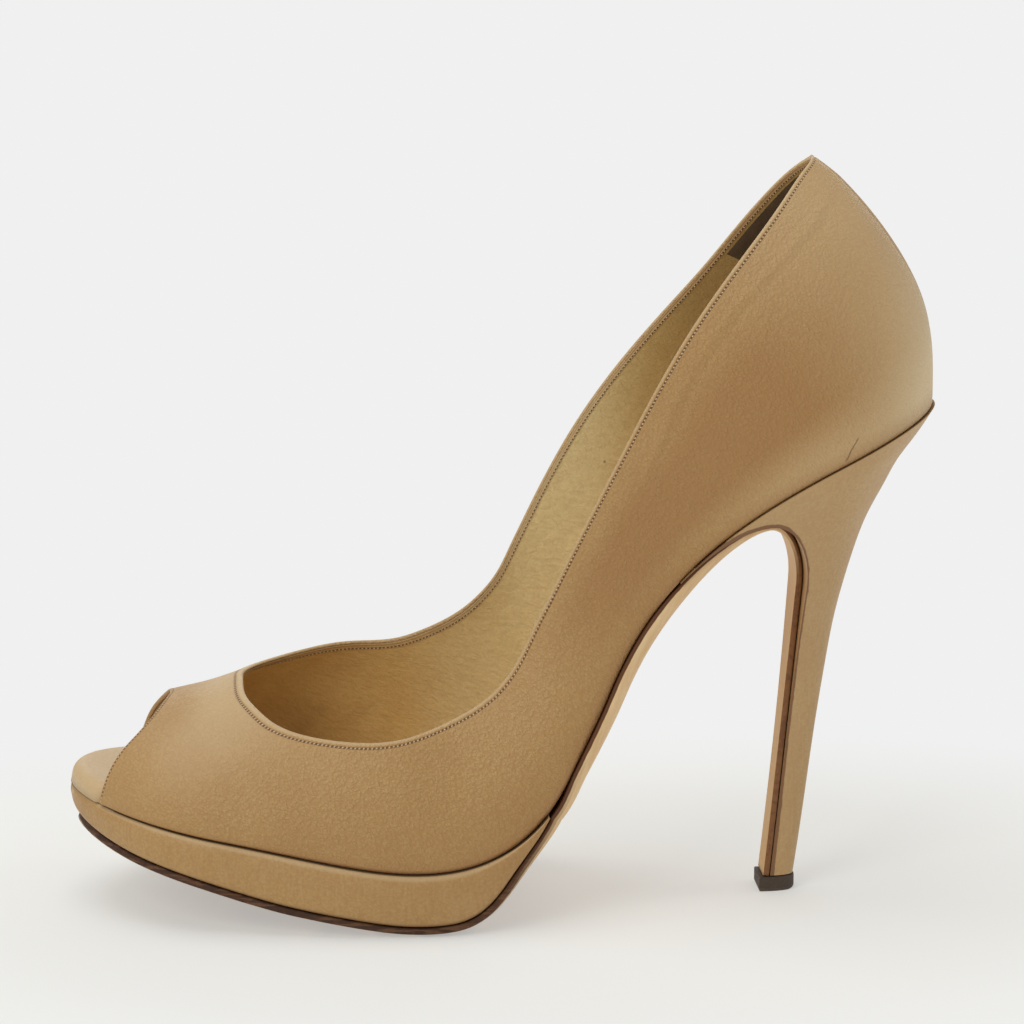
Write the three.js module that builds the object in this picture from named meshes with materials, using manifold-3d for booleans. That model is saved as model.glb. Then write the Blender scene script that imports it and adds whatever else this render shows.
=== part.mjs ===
// Platform peep toe pump, a left shoe
// Toe towards -X, heel towards +X, outer side towards -Y, floor at z = 0, millimetres
import * as THREE from 'three';
import { mergeVertices } from 'three/addons/utils/BufferGeometryUtils.js';
import Module from 'manifold-3d';

// Last: lengths run along its bottom, from the toe to the back of the seat
const lastLength = 257;
const ballWidth = 74.5;
const instepHeight = 78;
const toePitch = 10.6;          // degrees that the toe rises forward of the ball
const heelRise = 107.4;         // from the lowest point of the last to the back of its seat
const toeRadius = 36;
const toeCapRadius = 26;
const seatRadius = 27;
const counterHeight = 85;
const counterReach = 45;

// Upper, insole and the shared running clearance
const wall = 1.7;
const gap = 0.3;
const insoleFront = 4.8;        // the rolled front that shows in the toe opening
const insoleBack = 2.8;
const boardDrop = 1.2;          // how far waist and seat reach below the last, round the insole's board
const insoleEdgeRadius = 3;

// Platform and outsole
const platformHeight = 12.8;
const platformLedge = 0.7;      // how far the platform stands out past the upper
const platformLean = 1.0;       // how far its side leans in towards the floor
const toeLean = 2.6;            // more lean right at the toe
const soleEdge = 1.6;
const soleCrown = 3.2;          // how far the waist of the sole is rounded below its edge
const soleInset = 0.6;
const toeInset = 1.2;           // the sole is set further back right at the toe
const treadFlat = 0.35;         // depth of the flat that the tread stands on

// Heel
const heelUndercutLength = 32.2; // from the back of the seat forward to the back of the tip
const tipDepth = 8;
const tipWidth = 9.6;
const flapThickness = 1.5;
const breastLean = 5.3;         // degrees
const archReachLength = 10;     // from the breast forward to the top of the arch
const archDropHeight = 7.4;     // from the seat down to the top of the arch
const breastTurnHeight = 17.4;  // height over which the arch turns into the breast
const topPieceHeight = 3.7;
const topPieceFlare = 0.3;

// Direction of the bottom of the last: shares of the toe pitch and of the arch pitch
const spineTable = [
  { at: 0.00, toe: 1.00, arch: 0.00 },
  { at: 0.10, toe: 0.90, arch: 0.00 },
  { at: 0.22, toe: 0.97, arch: 0.00 },
  { at: 0.36, toe: 0.00, arch: 0.13 },
  { at: 0.50, toe: 0.00, arch: 1.00 },
  { at: 0.64, toe: 0.00, arch: 0.945 },
  { at: 0.78, toe: 0.00, arch: 0.597 },
  { at: 0.90, toe: 0.00, arch: 0.445 },
  { at: 1.00, toe: 0.00, arch: 0.40 },
];

// Tilt of the sections of the last away from plumb, degrees
const tiltTable = [
  { at: 0.00, tilt: -10 },
  { at: 0.10, tilt: -8 },
  { at: 0.22, tilt: -4 },
  { at: 0.36, tilt: 5 },
  { at: 0.50, tilt: 18 },
  { at: 0.64, tilt: 30 },
  { at: 0.78, tilt: 32 },
  { at: 0.90, tilt: 27 },
  { at: 1.00, tilt: 22 },
];

// Widths of the sections on either side, their swing to the inner side and the flare of the
// sides above the sole, as shares of the ball width
const widthTable = [
  { at: 0.00, outer: 0.403, inner: 0.403, swing: 0.070, flare: 0.020 },
  { at: 0.08, outer: 0.443, inner: 0.443, swing: 0.048, flare: 0.020 },
  { at: 0.18, outer: 0.483, inner: 0.483, swing: 0.028, flare: 0.020 },
  { at: 0.30, outer: 0.510, inner: 0.490, swing: 0.000, flare: 0.013 },
  { at: 0.42, outer: 0.456, inner: 0.416, swing: -0.007, flare: 0.013 },
  { at: 0.54, outer: 0.362, inner: 0.309, swing: 0.000, flare: 0.020 },
  { at: 0.66, outer: 0.315, inner: 0.275, swing: 0.007, flare: 0.027 },
  { at: 0.78, outer: 0.322, inner: 0.309, swing: 0.007, flare: 0.027 },
  { at: 0.90, outer: 0.336, inner: 0.329, swing: 0.000, flare: 0.027 },
  { at: 1.00, outer: 0.336, inner: 0.336, swing: 0.000, flare: 0.027 },
];

// Height of the sections as a share of the instep height, how upright their sides stand, how flat
// the top lies on either side, and how far the ridge leans inward as a share of the ball width
const heightTable = [
  { at: 0.00, height: 0.296, stand: 0.55, flatOuter: 0.60, flatInner: 0.60, peak: 0.000 },
  { at: 0.08, height: 0.308, stand: 0.50, flatOuter: 0.55, flatInner: 0.58, peak: 0.027 },
  { at: 0.18, height: 0.469, stand: 0.45, flatOuter: 0.50, flatInner: 0.55, peak: 0.054 },
  { at: 0.30, height: 0.688, stand: 0.42, flatOuter: 0.42, flatInner: 0.50, peak: 0.081 },
  { at: 0.42, height: 0.718, stand: 0.42, flatOuter: 0.35, flatInner: 0.42, peak: 0.094 },
  { at: 0.54, height: 0.769, stand: 0.45, flatOuter: 0.30, flatInner: 0.35, peak: 0.067 },
  { at: 0.66, height: 0.808, stand: 0.50, flatOuter: 0.30, flatInner: 0.32, peak: 0.040 },
  { at: 0.78, height: 0.923, stand: 0.55, flatOuter: 0.30, flatInner: 0.30, peak: 0.013 },
  { at: 0.90, height: 1.000, stand: 0.60, flatOuter: 0.32, flatInner: 0.32, peak: 0.000 },
  { at: 1.00, height: 0.974, stand: 0.60, flatOuter: 0.35, flatInner: 0.35, peak: 0.000 },
];

// Curve of the back: how far it stands behind the seat, as shares of the counter height
const backTable = [
  { up: 0.00, out: 0.000 },
  { up: 0.18, out: 0.063 },
  { up: 0.41, out: 0.063 },
  { up: 0.73, out: -0.041 },
  { up: 1.00, out: -0.194 },
];

// Collar line: along is the place on the last, rise goes from 1 at the sole edge to 0 at the ridge
const collarTable = [
  { at: 0.000, along: 0.2525, outer: 0.0000, inner: 0.0000 },
  { at: 0.070, along: 0.2550, outer: 0.2000, inner: 0.0640 },
  { at: 0.140, along: 0.2650, outer: 0.3300, inner: 0.1490 },
  { at: 0.210, along: 0.2810, outer: 0.4440, inner: 0.2220 },
  { at: 0.280, along: 0.3040, outer: 0.5280, inner: 0.2870 },
  { at: 0.360, along: 0.3400, outer: 0.5860, inner: 0.3570 },
  { at: 0.440, along: 0.3830, outer: 0.5940, inner: 0.3960 },
  { at: 0.510, along: 0.4290, outer: 0.5570, inner: 0.3310 },
  { at: 0.545, along: 0.4583, outer: 0.5585, inner: 0.3300 },
  { at: 0.580, along: 0.4900, outer: 0.5850, inner: 0.4000 },
  { at: 0.650, along: 0.5540, outer: 0.6820, inner: 0.5490 },
  { at: 0.720, along: 0.6200, outer: 0.7100, inner: 0.6020 },
  { at: 0.790, along: 0.6860, outer: 0.6660, inner: 0.6100 },
  { at: 0.860, along: 0.7600, outer: 0.5810, inner: 0.5770 },
  { at: 0.930, along: 0.8500, outer: 0.4680, inner: 0.4670 },
  { at: 0.960, along: 0.9100, outer: 0.4040, inner: 0.4040 },
  { at: 0.980, along: 0.9550, outer: 0.3780, inner: 0.3780 },
  { at: 1.000, along: 1.0000, outer: 0.3680, inner: 0.3680 },
];

// Edge of the toe opening, from the ridge down to the sole on either side
const toeEdgeTable = [
  { at: 0.00, alongOuter: 0.1830, alongInner: 0.1830, outer: 0.000, inner: 0.000 },
  { at: 0.16, alongOuter: 0.1770, alongInner: 0.1822, outer: 0.120, inner: 0.130 },
  { at: 0.31, alongOuter: 0.1680, alongInner: 0.1785, outer: 0.244, inner: 0.265 },
  { at: 0.52, alongOuter: 0.1490, alongInner: 0.1690, outer: 0.420, inner: 0.430 },
  { at: 0.70, alongOuter: 0.1300, alongInner: 0.1595, outer: 0.575, inner: 0.600 },
  { at: 0.85, alongOuter: 0.1165, alongInner: 0.1530, outer: 0.770, inner: 0.800 },
  { at: 1.00, alongOuter: 0.1105, alongInner: 0.1460, outer: 1.000, inner: 1.000 },
];

// Height of the platform's side along the last, as a share of the platform height
const platformTable = [
  { at: 0.000, height: 0.47 },
  { at: 0.025, height: 0.57 },
  { at: 0.062, height: 0.67 },
  { at: 0.107, height: 0.74 },
  { at: 0.163, height: 0.865 },
  { at: 0.206, height: 0.935 },
  { at: 0.270, height: 0.96 },
  { at: 0.345, height: 1.00 },
  { at: 0.365, height: 0.95 },
  { at: 0.380, height: 0.80 },
  { at: 0.406, height: 0.42 },
  { at: 0.442, height: 0.13 },
  { at: 0.470, height: 0.00 },
];

// Crown of the outsole along its path, as a share of the sole crown
const crownTable = [
  { at: 0.00, crown: 0.20 },
  { at: 0.20, crown: 0.34 },
  { at: 0.38, crown: 0.40 },
  { at: 0.50, crown: 0.80 },
  { at: 0.62, crown: 0.95 },
  { at: 0.70, crown: 1.00 },
];

// Back curve and side of the heel from the seat down to the tip
const heelTable = [
  { down: 0.000, flare: 1.000, width: 1.000 },
  { down: 0.050, flare: 0.885, width: 0.885 },
  { down: 0.100, flare: 0.755, width: 0.765 },
  { down: 0.155, flare: 0.650, width: 0.645 },
  { down: 0.220, flare: 0.530, width: 0.510 },
  { down: 0.295, flare: 0.430, width: 0.375 },
  { down: 0.365, flare: 0.357, width: 0.270 },
  { down: 0.440, flare: 0.290, width: 0.175 },
  { down: 0.545, flare: 0.224, width: 0.085 },
  { down: 0.680, flare: 0.152, width: 0.030 },
  { down: 0.820, flare: 0.088, width: 0.008 },
  { down: 0.950, flare: 0.026, width: 0.000 },
  { down: 1.000, flare: 0.000, width: 0.000 },
];

// Sides of the outsole where it runs over the arch and down the breast, as shares of the seat's width
const flapTable = [
  { at: 0.00, side: 0.96 },
  { at: 0.12, side: 0.86 },
  { at: 0.24, side: 0.72 },
  { at: 0.34, side: 0.40 },
  { at: 0.46, side: 0.26 },
  { at: 0.62, side: 0.20 },
  { at: 1.00, side: 0.19 },
];

const degrees = Math.PI / 180;
const clamp = (value, low, high) => Math.min(Math.max(value, low), high);
const mix = (a, b, share) => a + (b - a) * share;
const ease = (value, from, to) => {
  const share = clamp((value - from) / (to - from), 0, 1);
  return share * share * (3 - 2 * share);
};

// Natural cubic spline through one column of a table
function column(table, key, name) {
  const xs = table.map((row) => row[key]);
  const ys = table.map((row) => row[name]);
  const n = xs.length;
  const bend = new Array(n).fill(0);
  const ratio = new Array(n).fill(0);
  for (let i = 1; i < n - 1; i += 1) {
    const before = xs[i] - xs[i - 1];
    const after = xs[i + 1] - xs[i];
    const pivot = 2 * (before + after) - before * ratio[i - 1];
    const slopes = (ys[i + 1] - ys[i]) / after - (ys[i] - ys[i - 1]) / before;
    ratio[i] = after / pivot;
    bend[i] = (6 * slopes - before * bend[i - 1]) / pivot;
  }
  for (let i = n - 2; i > 0; i -= 1) bend[i] -= ratio[i] * bend[i + 1];
  return (x) => {
    const at = clamp(x, xs[0], xs[n - 1]);
    let i = 0;
    while (i < n - 2 && at > xs[i + 1]) i += 1;
    const width = xs[i + 1] - xs[i];
    const b = (at - xs[i]) / width;
    const a = 1 - b;
    const curve = ((a ** 3 - a) * bend[i] + (b ** 3 - b) * bend[i + 1]) * width * width / 6;
    return a * ys[i] + b * ys[i + 1] + curve;
  };
}

// Bottom line of the last in the XZ plane, with its arch pitch found from the heel's rise
const spineSteps = 400;
const toeShare = column(spineTable, 'at', 'toe');
const archShare = column(spineTable, 'at', 'arch');

function traceSpine(archPitch) {
  const points = [];
  let x = 0;
  let z = 0;
  for (let i = 0; i <= spineSteps; i += 1) {
    const middle = (i + 0.5) / spineSteps;
    const pitch = (share) => (archPitch * archShare(share) - toePitch * toeShare(share)) * degrees;
    points.push({ x, z, pitch: pitch(i / spineSteps) });
    x += Math.cos(pitch(middle)) * lastLength / spineSteps;
    z += Math.sin(pitch(middle)) * lastLength / spineSteps;
  }
  return points;
}

function findSpine() {
  let low = 5;
  let high = 85;
  for (let i = 0; i < 30; i += 1) {
    const middle = (low + high) / 2;
    const points = traceSpine(middle);
    const rise = points[spineSteps].z - Math.min(...points.map((point) => point.z));
    if (rise < heelRise) low = middle;
    else high = middle;
  }
  return traceSpine((low + high) / 2);
}

const spinePoints = findSpine();
const ends = { lift: 0 };

function spine(w) {
  const share = clamp(w / lastLength, 0, 1) * spineSteps;
  const i = Math.min(Math.floor(share), spineSteps - 1);
  const a = spinePoints[i];
  const b = spinePoints[i + 1];
  const t = share - i;
  const pitch = mix(a.pitch, b.pitch, t);
  const past = w - clamp(w, 0, lastLength);
  return {
    x: mix(a.x, b.x, t) + past * Math.cos(pitch),
    z: mix(a.z, b.z, t) + past * Math.sin(pitch) + ends.lift,
    pitch,
  };
}

const sectionTilt = column(tiltTable, 'at', 'tilt');
const section = {};
for (const table of [widthTable, heightTable]) {
  for (const name of Object.keys(table[0])) section[name] = column(table, 'at', name);
}
const backOut = column(backTable, 'up', 'out');

// Point at w along the last, y across and h above its bottom, or below it where h is negative
function bendPoint(w, y, h) {
  const at = spine(w);
  const lean = h > 0 ? sectionTilt(w / lastLength) * degrees : at.pitch;
  return [at.x - h * Math.sin(lean), y, at.z + h * Math.cos(lean)];
}

function nose(distance, radius, power) {
  const u = clamp(1 - distance / radius, 0, 1);
  return Math.max(1 - u ** power, 0) ** (1 / power);
}

// along runs from 0 at the toe to 1 at the back, evenly round both ends
const placeOf = (along, grow) => (lastLength + 2 * grow) * (1 - Math.cos(Math.PI * along)) / 2 - grow;
const alongOf = (share) => Math.acos(1 - 2 * share) / Math.PI;

// Half width of the last at w on one side, with its ends rounded
function halfWidth(w, side, grow) {
  const toe = nose(w + grow, toeRadius + grow, 2);
  const seat = nose(lastLength + grow - w, seatRadius + grow, 2.1);
  const share = w / lastLength;
  const width = side < 0 ? section.outer(share) : section.inner(share);
  return toe * seat * (width * ballWidth + grow);
}

// Point of the last's outline grown outward, moved h above its bottom
function edgePoint(w, side, grow, h) {
  const middle = section.swing(clamp(w / lastLength, 0, 1)) * ballWidth;
  return bendPoint(w, middle + side * halfWidth(w, side, grow), h);
}

// Point of the last's surface grown outward: side is -1 outer or 1 inner, rise 1 at the sole, 0 on top
function lastPoint(along, side, rise, grow) {
  const w = placeOf(along, grow);
  const share = clamp(w / lastLength, 0, 1);
  const half = halfWidth(w, side, grow);
  const round = nose(w + grow, toeRadius + grow, 2) * nose(lastLength + grow - w, seatRadius + grow, 2.1);
  const height = (section.height(share) * instepHeight + grow) * nose(w + grow, toeCapRadius + grow, 2.2);
  const flat = side < 0 ? section.flatOuter(share) : section.flatInner(share);
  const t = 1 - rise;
  const sole = (1 - t) ** 3;
  const low = 3 * (1 - t) ** 2 * t;
  const high = 3 * (1 - t) * t * t;
  const top = t ** 3;
  const flare = round * section.flare(share) * ballWidth;
  const lean = round * section.peak(share) * ballWidth;
  const reach = side * (sole * half + low * (half + flare) + high * flat * half);
  const y = section.swing(share) * ballWidth + reach + (high + top) * lean;
  const h = (low * section.stand(share) + high + top) * height - sole * boardDrop * boardShare(share);
  const near = ease(w, lastLength - counterReach, lastLength);
  const back = backOut(h / counterHeight) * counterHeight * near;
  return bendPoint(w + back, y, h);
}

// How far the lower edge lies below the last's bottom
const boardShare = (share) => ease(share, 0.50, 0.58);

// Triangles of a closed skin from rings of equal length; skins are stitched, ends are capped flat
class Skin {
  constructor() {
    this.points = [];
    this.triangles = [];
  }

  add(point) {
    this.points.push(...point);
    return this.points.length / 3 - 1;
  }

  quad(a, b, c, d) {
    this.triangles.push(a, c, b, a, d, c);
  }

  // Rows of a grid; each row joins the next, and closed rows join their ends
  grid(rows, closed) {
    const index = rows.map((row) => row.map((point) => this.add(point)));
    const last = closed ? 0 : 1;
    for (let i = 0; i < index.length - 1; i += 1) {
      const n = index[i].length;
      for (let j = 0; j < n - last; j += 1) {
        const k = (j + 1) % n;
        this.quad(index[i][j], index[i][k], index[i + 1][k], index[i + 1][j]);
      }
    }
  }

  geometry() {
    const loose = new THREE.BufferGeometry();
    loose.setAttribute('position', new THREE.Float32BufferAttribute(this.points, 3));
    loose.setIndex(this.triangles);
    const merged = mergeVertices(loose, 1e-4);
    const index = merged.getIndex().array;
    const kept = [];
    for (let i = 0; i < index.length; i += 3) {
      const [a, b, c] = [index[i], index[i + 1], index[i + 2]];
      if (a !== b && b !== c && a !== c) kept.push(a, b, c);
    }
    merged.setIndex(kept);
    return merged;
  }
}

// Rings across the shoe, each a pair of matching half rings from the top line to the bottom line
function ribbedSolid(outerRows, innerRows) {
  const skin = new Skin();
  skin.grid(outerRows, false);
  skin.grid(innerRows.map((row) => [...row].reverse()), false);
  const first = (row) => row[0];
  const last = (row) => row[row.length - 1];
  skin.grid(outerRows.map((row, i) => [first(innerRows[i]), first(row)]), false);
  skin.grid(outerRows.map((row, i) => [last(row), last(innerRows[i])]), false);
  const capRows = (i) => outerRows[i].map((point, j) => [point, innerRows[i][j]]);
  skin.grid(capRows(0), false);
  skin.grid(capRows(outerRows.length - 1).map((row) => [...row].reverse()), false);
  return skin.geometry();
}

// The library that cuts and joins solids
const wasm = await Module();
wasm.setup();

function toSolid(geometry) {
  const bare = geometry.clone();
  for (const name of Object.keys(bare.attributes)) if (name !== 'position') bare.deleteAttribute(name);
  const merged = mergeVertices(bare, 1e-4);
  const mesh = new wasm.Mesh({
    numProp: 3,
    vertProperties: new Float32Array(merged.getAttribute('position').array),
    triVerts: new Uint32Array(merged.getIndex().array),
  });
  return new wasm.Manifold(mesh);
}

function toGeometry(solid) {
  const mesh = solid.getMesh();
  const geometry = new THREE.BufferGeometry();
  geometry.setAttribute('position', new THREE.BufferAttribute(new Float32Array(mesh.vertProperties), 3));
  geometry.setIndex(new THREE.BufferAttribute(new Uint32Array(mesh.triVerts), 1));
  return geometry;
}

// Cutters reach this far past the shoe
const beyond = lastLength / 2;

// Solid of an outline drawn in the XZ plane, right across the shoe
function sideCutter(outline) {
  const shape = new THREE.Shape(outline.map(([x, z]) => new THREE.Vector2(x, z)));
  const geometry = new THREE.ExtrudeGeometry(shape, { depth: ballWidth * 2, bevelEnabled: false });
  geometry.translate(0, 0, -ballWidth);
  geometry.rotateX(Math.PI / 2);
  return toSolid(geometry);
}

// Upper: a lasted wall open at the collar, at the peep toe and underneath
const toeEdgeStations = 10;
const upperStations = 46;
const upperRows = 9;
const collarAlong = column(collarTable, 'at', 'along');
const collarRise = { '-1': column(collarTable, 'at', 'outer'), 1: column(collarTable, 'at', 'inner') };
const toeEdgeEnd = toeEdgeTable[toeEdgeTable.length - 1];
const toeEdge = {
  '-1': { along: column(toeEdgeTable, 'at', 'alongOuter'), rise: column(toeEdgeTable, 'at', 'outer') },
  1: { along: column(toeEdgeTable, 'at', 'alongInner'), rise: column(toeEdgeTable, 'at', 'inner') },
};
const toeCorner = { '-1': toeEdgeEnd.alongOuter, 1: toeEdgeEnd.alongInner };

// Where a line from the lower edge to the collar starts and ends, for station k on one side
function upperLine(k, side) {
  const at = k / upperStations;
  const corner = toeEdgeStations / upperStations;
  const onToe = k <= toeEdgeStations;
  const toeAt = at / corner;
  return {
    lowAlong: onToe ? toeEdge[side].along(toeAt) : mix(toeCorner[side], 1, (at - corner) / (1 - corner)),
    lowRise: onToe ? toeEdge[side].rise(toeAt) : 1,
    topAlong: collarAlong(at),
    topRise: collarRise[side](at),
  };
}

function upperRow(k, side, grow) {
  const line = upperLine(k, side);
  const row = [];
  for (let r = 0; r <= upperRows; r += 1) {
    const along = mix(line.lowAlong, line.topAlong, r / upperRows);
    const rise = mix(line.lowRise, line.topRise, r / upperRows);
    row.push(lastPoint(along, side, rise, grow));
  }
  return row;
}

function makeUpper() {
  const round = (grow) => {
    const rows = [];
    for (let k = 0; k <= upperStations; k += 1) rows.push(upperRow(k, -1, grow));
    for (let k = upperStations; k >= 0; k -= 1) rows.push(upperRow(k, 1, grow));
    return rows;
  };
  const outside = round(wall);
  const inside = round(0);
  const skin = new Skin();
  skin.grid(outside, false);
  skin.grid(inside.map((row) => [...row].reverse()), false);
  skin.grid(outside.map((row, i) => [inside[i][0], row[0]]), false);
  skin.grid(outside.map((row, i) => [row[upperRows], inside[i][upperRows]]), false);
  return skin.geometry();
}

// Places along the last, even round the toe and the back
function stations(from, to, count) {
  return Array.from({ length: count + 1 }, (_, i) => mix(from, to, i / count));
}

// Insole: fills the toe opening to the outline, then runs inside the upper
const insoleStep = 0.004;
const insoleThinFrom = 0.06;
const insoleThinTo = 0.22;

function makeInsole() {
  const [first, second] = [toeCorner[-1], toeCorner[1]];
  const places = [
    ...stations(0, first - 2 * insoleStep, 6),
    ...stations(first - insoleStep, second - 2 * insoleStep, 4),
    ...stations(second - insoleStep, 1, 32),
  ];
  const profile = [
    { up: 1, over: 0, inset: 1 },
    { up: 1, over: -0.3, inset: 0.35 },
    { up: 1, over: -0.9, inset: 0 },
    { up: 0, over: 0, inset: 0 },
  ];
  const rows = (side) => places.map((along) => profile.map(({ up, over, inset }) => {
    const outline = along < toeCorner[side] - 1.5 * insoleStep ? wall : -gap;
    const edge = outline - inset * insoleEdgeRadius;
    const w = placeOf(along, edge);
    const share = clamp(w / lastLength, 0, 1);
    const thick = mix(insoleFront, insoleBack, ease(share, insoleThinFrom, insoleThinTo));
    const round = insoleEdgeRadius * thick / insoleFront;
    const below = (1 - up) * boardDrop * boardShare(share);
    return edgePoint(w, side, edge, up * thick + over * round - below);
  }));
  return ribbedSolid(rows(1), rows(-1));
}

// Platform: under the forefoot, with its side leaning in towards the floor
const platformShare = column(platformTable, 'at', 'height');
const platformEnd = platformTable[platformTable.length - 1].at;
const platformAt = (share) => platformHeight * Math.max(platformShare(share), 0);
const thinEdge = 0.5;
const toeZone = 0.12;
const leanAt = (share) => mix(toeLean, platformLean, ease(share, 0, toeZone));

function makePlatform() {
  const places = stations(0, alongOf(platformEnd - 0.01), 30);
  const levels = [0, 0.35, 0.75, 0.93, 1];
  const inward = [0, 0.1, 0.45, 0.75, 1];
  const rows = (side) => places.map((along) => levels.map((level, i) => {
    const share = clamp(placeOf(along, wall) / lastLength, 0, 1);
    const ledge = platformLedge * ease(share, 0, toeZone);
    const grow = wall + ledge - leanAt(share) * inward[i];
    const w = placeOf(along, grow);
    const h = -gap - level * Math.max(platformAt(w / lastLength), thinEdge);
    return edgePoint(w, side, grow, h);
  }));
  return ribbedSolid(rows(1), rows(-1));
}

// Path of the outsole's upper face: along the forefoot and waist, over the arch, down the breast
const archStart = 0.665;
const archLead = 0.3;
const waistStart = 0.52;
const underPlatform = (share) => gap + Math.max(platformAt(share), thinEdge) + gap;
const crownShare = column(crownTable, 'at', 'crown');
const flapShare = column(flapTable, 'at', 'side');

function solePoint(w) {
  const at = spine(w);
  const h = -soleDrop(w / lastLength);
  return { x: at.x - h * Math.sin(at.pitch), z: at.z + h * Math.cos(at.pitch) };
}

function soleDrop(share) {
  const drop = mix(underPlatform(share), gap, ease(share, platformEnd - 0.005, platformEnd + 0.035));
  return drop + boardDrop * boardShare(share);
}

// The sole is lowered until the tread's flat lies on the floor
function settle() {
  let lowest = Infinity;
  for (let i = 0; i <= 200; i += 1) {
    const share = mix(0.2, 0.45, i / 200);
    const below = soleDrop(share) + soleEdge + soleCrown * crownShare(share);
    const at = spine(share * lastLength);
    lowest = Math.min(lowest, at.z - below * Math.cos(at.pitch));
  }
  ends.lift = -lowest - treadFlat;
}
settle();

const seatBack = spine(lastLength + wall);
const tipBack = seatBack.x - heelUndercutLength;
const tipFront = tipBack - tipDepth;
const tipLevel = topPieceHeight + gap;
const breastSlope = Math.tan(breastLean * degrees);

function spineAtX(x) {
  let low = 0;
  let high = lastLength;
  for (let i = 0; i < 40; i += 1) {
    const middle = (low + high) / 2;
    if (spine(middle).x < x) low = middle;
    else high = middle;
  }
  return spine(low);
}

function archPath() {
  const start = solePoint(archStart * lastLength);
  const before = solePoint(archStart * lastLength - 0.5);
  const run = Math.hypot(start.x - before.x, start.z - before.z);
  const breastAt = (z) => tipFront + flapThickness + (z - tipLevel) * breastSlope;
  const guess = spineAtX(breastAt(spineAtX(tipFront).z));
  const topX = breastAt(guess.z - archDropHeight - breastTurnHeight) - archReachLength;
  const top = { x: topX, z: spineAtX(topX).z - archDropHeight };
  const turn = { x: breastAt(top.z - breastTurnHeight), z: top.z - breastTurnHeight };
  const reach = (top.x - start.x) * 0.42;
  const rise = new THREE.CubicBezierCurve(
    new THREE.Vector2(start.x, start.z),
    new THREE.Vector2(
      start.x + reach * archLead * (start.x - before.x) / run,
      start.z + reach * archLead * (start.z - before.z) / run,
    ),
    new THREE.Vector2(top.x - reach, top.z),
    new THREE.Vector2(top.x, top.z),
  );
  const fall = new THREE.CubicBezierCurve(
    new THREE.Vector2(top.x, top.z),
    new THREE.Vector2(top.x + archReachLength * 0.62, top.z),
    new THREE.Vector2(turn.x + breastSlope * breastTurnHeight * 0.5, turn.z + breastTurnHeight * 0.5),
    new THREE.Vector2(turn.x, turn.z),
  );
  const breast = new THREE.QuadraticBezierCurve(
    new THREE.Vector2(turn.x, turn.z),
    new THREE.Vector2(mix(turn.x, tipFront + flapThickness, 0.42), mix(turn.z, tipLevel, 0.5)),
    new THREE.Vector2(tipFront + flapThickness, tipLevel),
  );
  return { rise, fall, breast };
}

// Stations of the outsole, with the place, the sides, the edge and the crown at each
function soleStations() {
  const list = [];
  const split = alongOf(platformEnd - 0.01);
  const places = [...stations(0, split, 30), ...stations(split, alongOf(archStart), 12).slice(1)];
  for (const along of places) {
    const share = clamp(placeOf(along, 0) / lastLength, 0, 1);
    const inset = mix(soleInset + toeInset, soleInset, ease(share, 0, toeZone));
    const forefoot = wall + platformLedge - inset - leanAt(share);
    const grow = mix(forefoot, wall, ease(share, platformEnd - 0.03, waistStart));
    const w = placeOf(along, grow);
    const swing = section.swing(w / lastLength) * ballWidth;
    list.push({
      ...solePoint(w),
      outer: swing - halfWidth(w, -1, grow),
      inner: swing + halfWidth(w, 1, grow),
      edge: soleEdge,
      crown: soleCrown * crownShare(w / lastLength),
    });
  }
  const { rise, fall, breast } = archPath();
  const lengths = [rise, fall, breast].map((curve) => curve.getLength());
  const total = lengths[0] + lengths[1] + lengths[2];
  const seat = list[list.length - 1];
  let gone = 0;
  [rise, fall, breast].forEach((curve, i) => {
    const count = [7, 10, 6][i];
    for (let j = 1; j <= count; j += 1) {
      const point = curve.getPointAt(j / count);
      const at = (gone + lengths[i] * j / count) / total;
      const side = flapShare(at) / flapTable[0].side;
      list.push({
        x: point.x,
        z: point.y,
        outer: seat.outer * side,
        inner: seat.inner * side,
        edge: mix(soleEdge, flapThickness, at),
        crown: seat.crown * (1 - ease(at, 0, 0.4)),
      });
    }
    gone += lengths[i];
  });
  return list;
}

// Unit vector at each station pointing towards the foot
function footward(list) {
  return list.map((_, i) => {
    const a = list[Math.max(i - 1, 0)];
    const b = list[Math.min(i + 1, list.length - 1)];
    const length = Math.hypot(b.x - a.x, b.z - a.z);
    return { x: -(b.z - a.z) / length, z: (b.x - a.x) / length };
  });
}

function makeOutsole() {
  const list = soleStations();
  const up = footward(list);
  const profile = [
    { out: 1, drop: 0, crown: 0 },
    { out: 1, drop: 1, crown: 0 },
    { out: 0.93, drop: 1, crown: 0.58 },
    { out: 0.8, drop: 1, crown: 0.88 },
    { out: 0.45, drop: 1, crown: 0.97 },
    { out: 0, drop: 1, crown: 1 },
  ];
  const rows = (side) => list.map((at, i) => profile.map(({ out, drop, crown }) => {
    const middle = (at.outer + at.inner) / 2;
    const y = mix(middle, side < 0 ? at.outer : at.inner, out);
    const down = drop * at.edge + crown * at.crown;
    return [at.x - up[i].x * down, y, at.z - up[i].z * down];
  }));
  const sole = toSolid(ribbedSolid(rows(1), rows(-1)));
  const treadEnd = spine(waistStart * lastLength).x;
  const floor = sideCutter([[-beyond, -beyond], [treadEnd, -beyond], [treadEnd, 0], [-beyond, 0]]);
  return toGeometry(sole.subtract(floor));
}

// Outline of the tip, rounded at the back and flat at the breast
function tipOutline(u, front, depth, width) {
  const x = Math.sin(u * Math.PI / 2);
  return [front + depth * x, (1 - x ** 2.6) ** (1 / 2.6) * width / 2];
}

// Heel: lofted from the seat's outline to the tip, with the breast and the arch cut away
const heelStart = 0.705;
const heelLevels = 18;
const heelFlare = column(heelTable, 'down', 'flare');
const heelNarrow = column(heelTable, 'down', 'width');

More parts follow.
